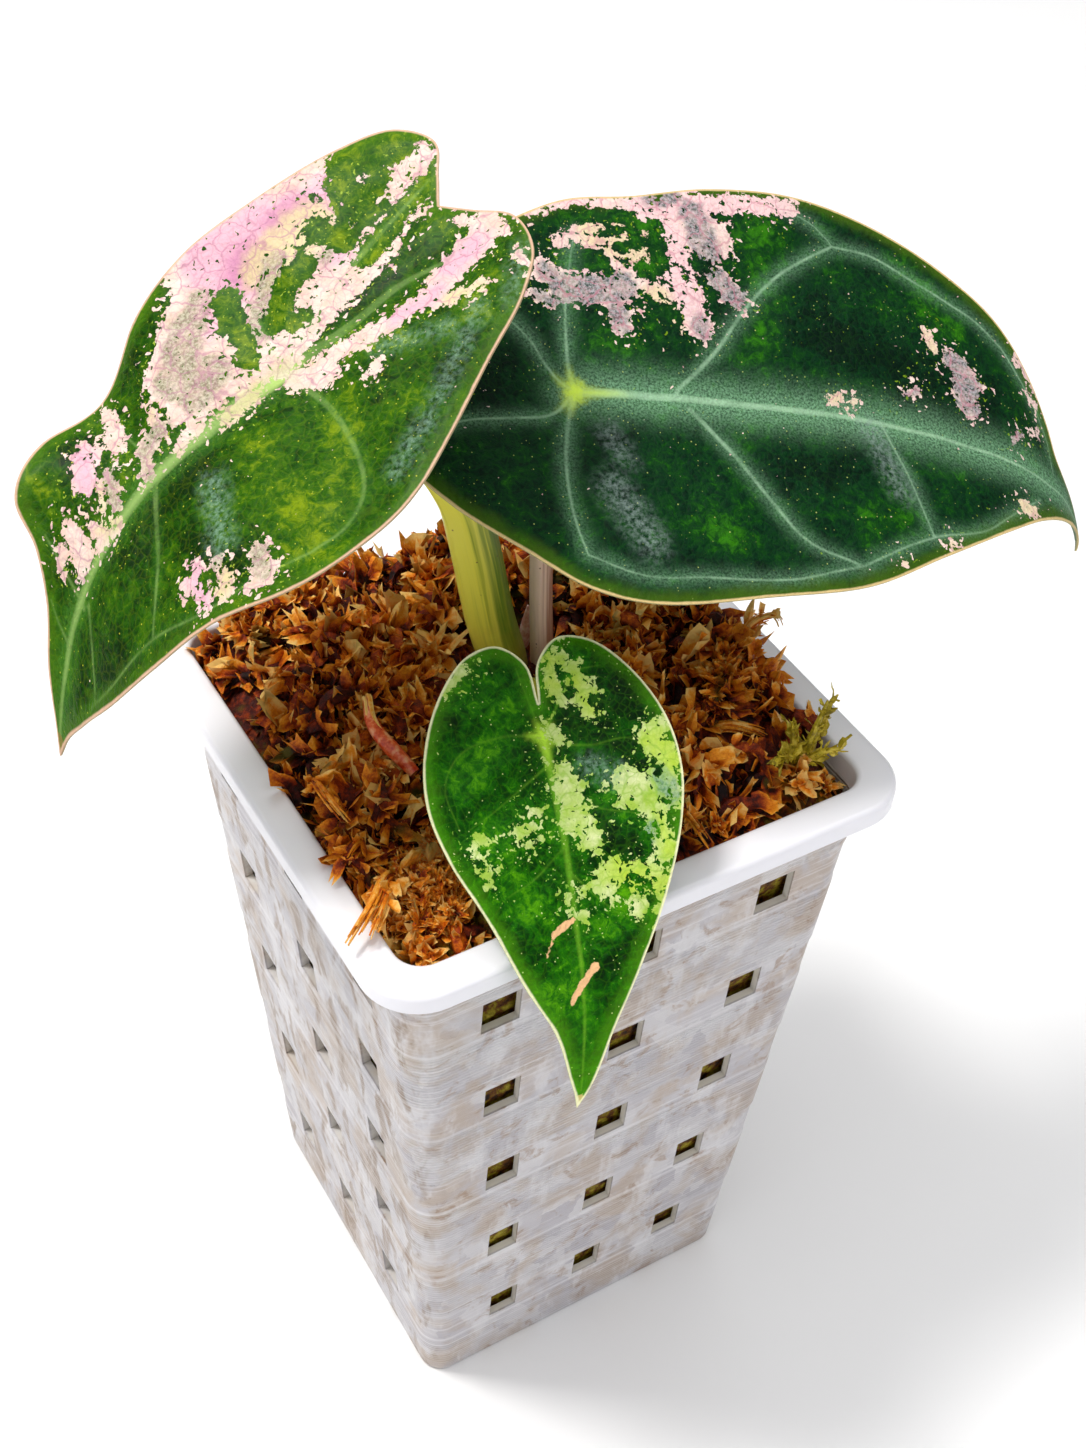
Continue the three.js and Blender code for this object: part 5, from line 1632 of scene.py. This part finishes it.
def shoot():
    shader = Shader("young_tissue")
    where = shader.position()
    streak = shader.noise(where, 1.2, 3.0, 0.6)
    color = shader.ramp(streak, [(0.35, "d89a8c"), (0.6, "f2d4cc")])
    material = shader.finish(
        Base_Color=color, Roughness=0.4, Normal=shader.bump(streak, 0.0001), Subsurface_Weight=0.2,
        Subsurface_Radius=(0.001, 0.0005, 0.0004),
    )
    path = smooth_curve(SHOOT_ROUTE, 0.3)
    points, faces, _, _ = tube(path, spread([0.9, 0.95, 0.85, 0.6, 0.12], len(path)), 20)
    parts = Parts()
    parts.add(points, faces)
    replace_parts(parts.finish("shoot", material, "shoot"), "young_shoot")


def dress_corm():
    shader = Shader("corm_skin")
    where = shader.position()
    bark = shader.noise(where, 0.8, 4.0, 0.7, 0.5)
    color = shader.ramp(bark, [(0.3, "3a2413"), (0.55, "7d5a38"), (0.75, "a8865c")])
    material = shader.finish(Base_Color=color, Roughness=0.8, Normal=shader.bump(bark, 0.0004))
    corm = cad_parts["corm_with_roots"]
    for place in corm.material_slots:
        place.material = material


def lay_floor():
    shader = Shader("studio_floor")
    grain = shader.noise(shader.position(), 0.02, 2.0)
    pale = shader.mix(grain, (0.93, 0.93, 0.935, 1), (0.9, 0.9, 0.905, 1))
    mesh = bpy.data.meshes.new("studio_floor")
    reach = 3.0
    corners = [(-reach, -reach, 0), (reach, -reach, 0), (reach, reach, 0), (-reach, reach, 0)]
    mesh.from_pydata(corners, [], [(0, 1, 2, 3)])
    mesh.materials.append(shader.finish(Base_Color=pale, Roughness=0.7))
    floor = bpy.data.objects.new("studio_floor", mesh)
    bpy.context.scene.collection.objects.link(floor)


def add_lamp(name, place, size, power, color):
    """A square lamp that faces the middle of the plant"""
    lamp = bpy.data.lights.new(name, "AREA")
    lamp.size = size
    lamp.energy = power
    lamp.color = color
    lamp_object = bpy.data.objects.new(name, lamp)
    lamp_object.location = place
    toward = Vector((0, 0, 0.1)) - Vector(place)
    lamp_object.rotation_euler = toward.to_track_quat("-Z", "Y").to_euler()
    bpy.context.scene.collection.objects.link(lamp_object)


def place_camera():
    camera = bpy.data.cameras.new("camera")
    camera.lens = LENS
    camera.clip_start = 0.01
    camera_object = bpy.data.objects.new("camera", camera)
    right, up, forward = Vector(CAMERA_RIGHT), Vector(CAMERA_UP), Vector(CAMERA_FORWARD)
    turn = Matrix((right, up, -forward)).transposed().to_4x4()
    camera_object.matrix_world = Matrix.Translation(Vector(CAMERA_PLACE) * MM) @ turn
    bpy.context.scene.collection.objects.link(camera_object)
    bpy.context.scene.camera = camera_object


def studio():
    """Pale floor, soft light and the photograph's camera"""
    scene = bpy.context.scene
    scene.view_settings.view_transform = "Standard"
    lay_floor()
    world = bpy.data.worlds.new("studio")
    world.use_nodes = True
    world.node_tree.nodes["Background"].inputs["Color"].default_value = (0.95, 0.97, 1, 1)
    world.node_tree.nodes["Background"].inputs["Strength"].default_value = 0.22
    scene.world = world
    for lamp in LAMPS:
        add_lamp(*lamp)
    place_camera()


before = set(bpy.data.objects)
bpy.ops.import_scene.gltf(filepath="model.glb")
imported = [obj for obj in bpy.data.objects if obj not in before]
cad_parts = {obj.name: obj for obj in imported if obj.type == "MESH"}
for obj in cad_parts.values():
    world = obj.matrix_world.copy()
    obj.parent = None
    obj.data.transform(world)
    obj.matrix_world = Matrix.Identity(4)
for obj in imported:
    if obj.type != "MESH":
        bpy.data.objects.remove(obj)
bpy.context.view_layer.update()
studio()

left_skin = leaf_material("left_blade", LEFT_TONES, 0.03, 0.24, 0.06)
right_skin = leaf_material("right_blade", RIGHT_TONES, 0.0, 0.32, 0.06)
front_skin = leaf_material("front_blade", FRONT_TONES, 0.03, 0.2, 0.06)
blade(LEFT_LEAF, left_skin)
blade(RIGHT_LEAF, right_skin)
blade(FRONT_LEAF, front_skin)

green_skin = petiole_material(
    "green_petiole", "f0e850", "5c8000", "c8a43c", "6a4a24",
)
pink_skin = petiole_material(
    "pink_petiole", "f8d8c0", "a87058", "b86430", "7a4a34",
)
stalk(
    "stalk_left", LEFT_PETIOLE, [3, 2.95, 2.9, 2.7, 2.3, 1.5], LEFT_LEAF, green_skin,
    "green_petiole", "petiole_left_leaf", 7,
)
stalk(
    "stalk_right", RIGHT_PETIOLE, [1.5, 1.4, 1.35, 1.3, 1.2], RIGHT_LEAF, pink_skin,
    "pink_petiole", "petiole_right_leaf", 5,
)
stalk(
    "stalk_front", FRONT_PETIOLE, [1.2, 1.15, 1.05, 0.9], FRONT_LEAF, green_skin,
    "green_petiole", "petiole_front_leaf", 5,
)
shoot()
net_pot()
sphagnum()
red_strand()
sprig()
dress_corm()
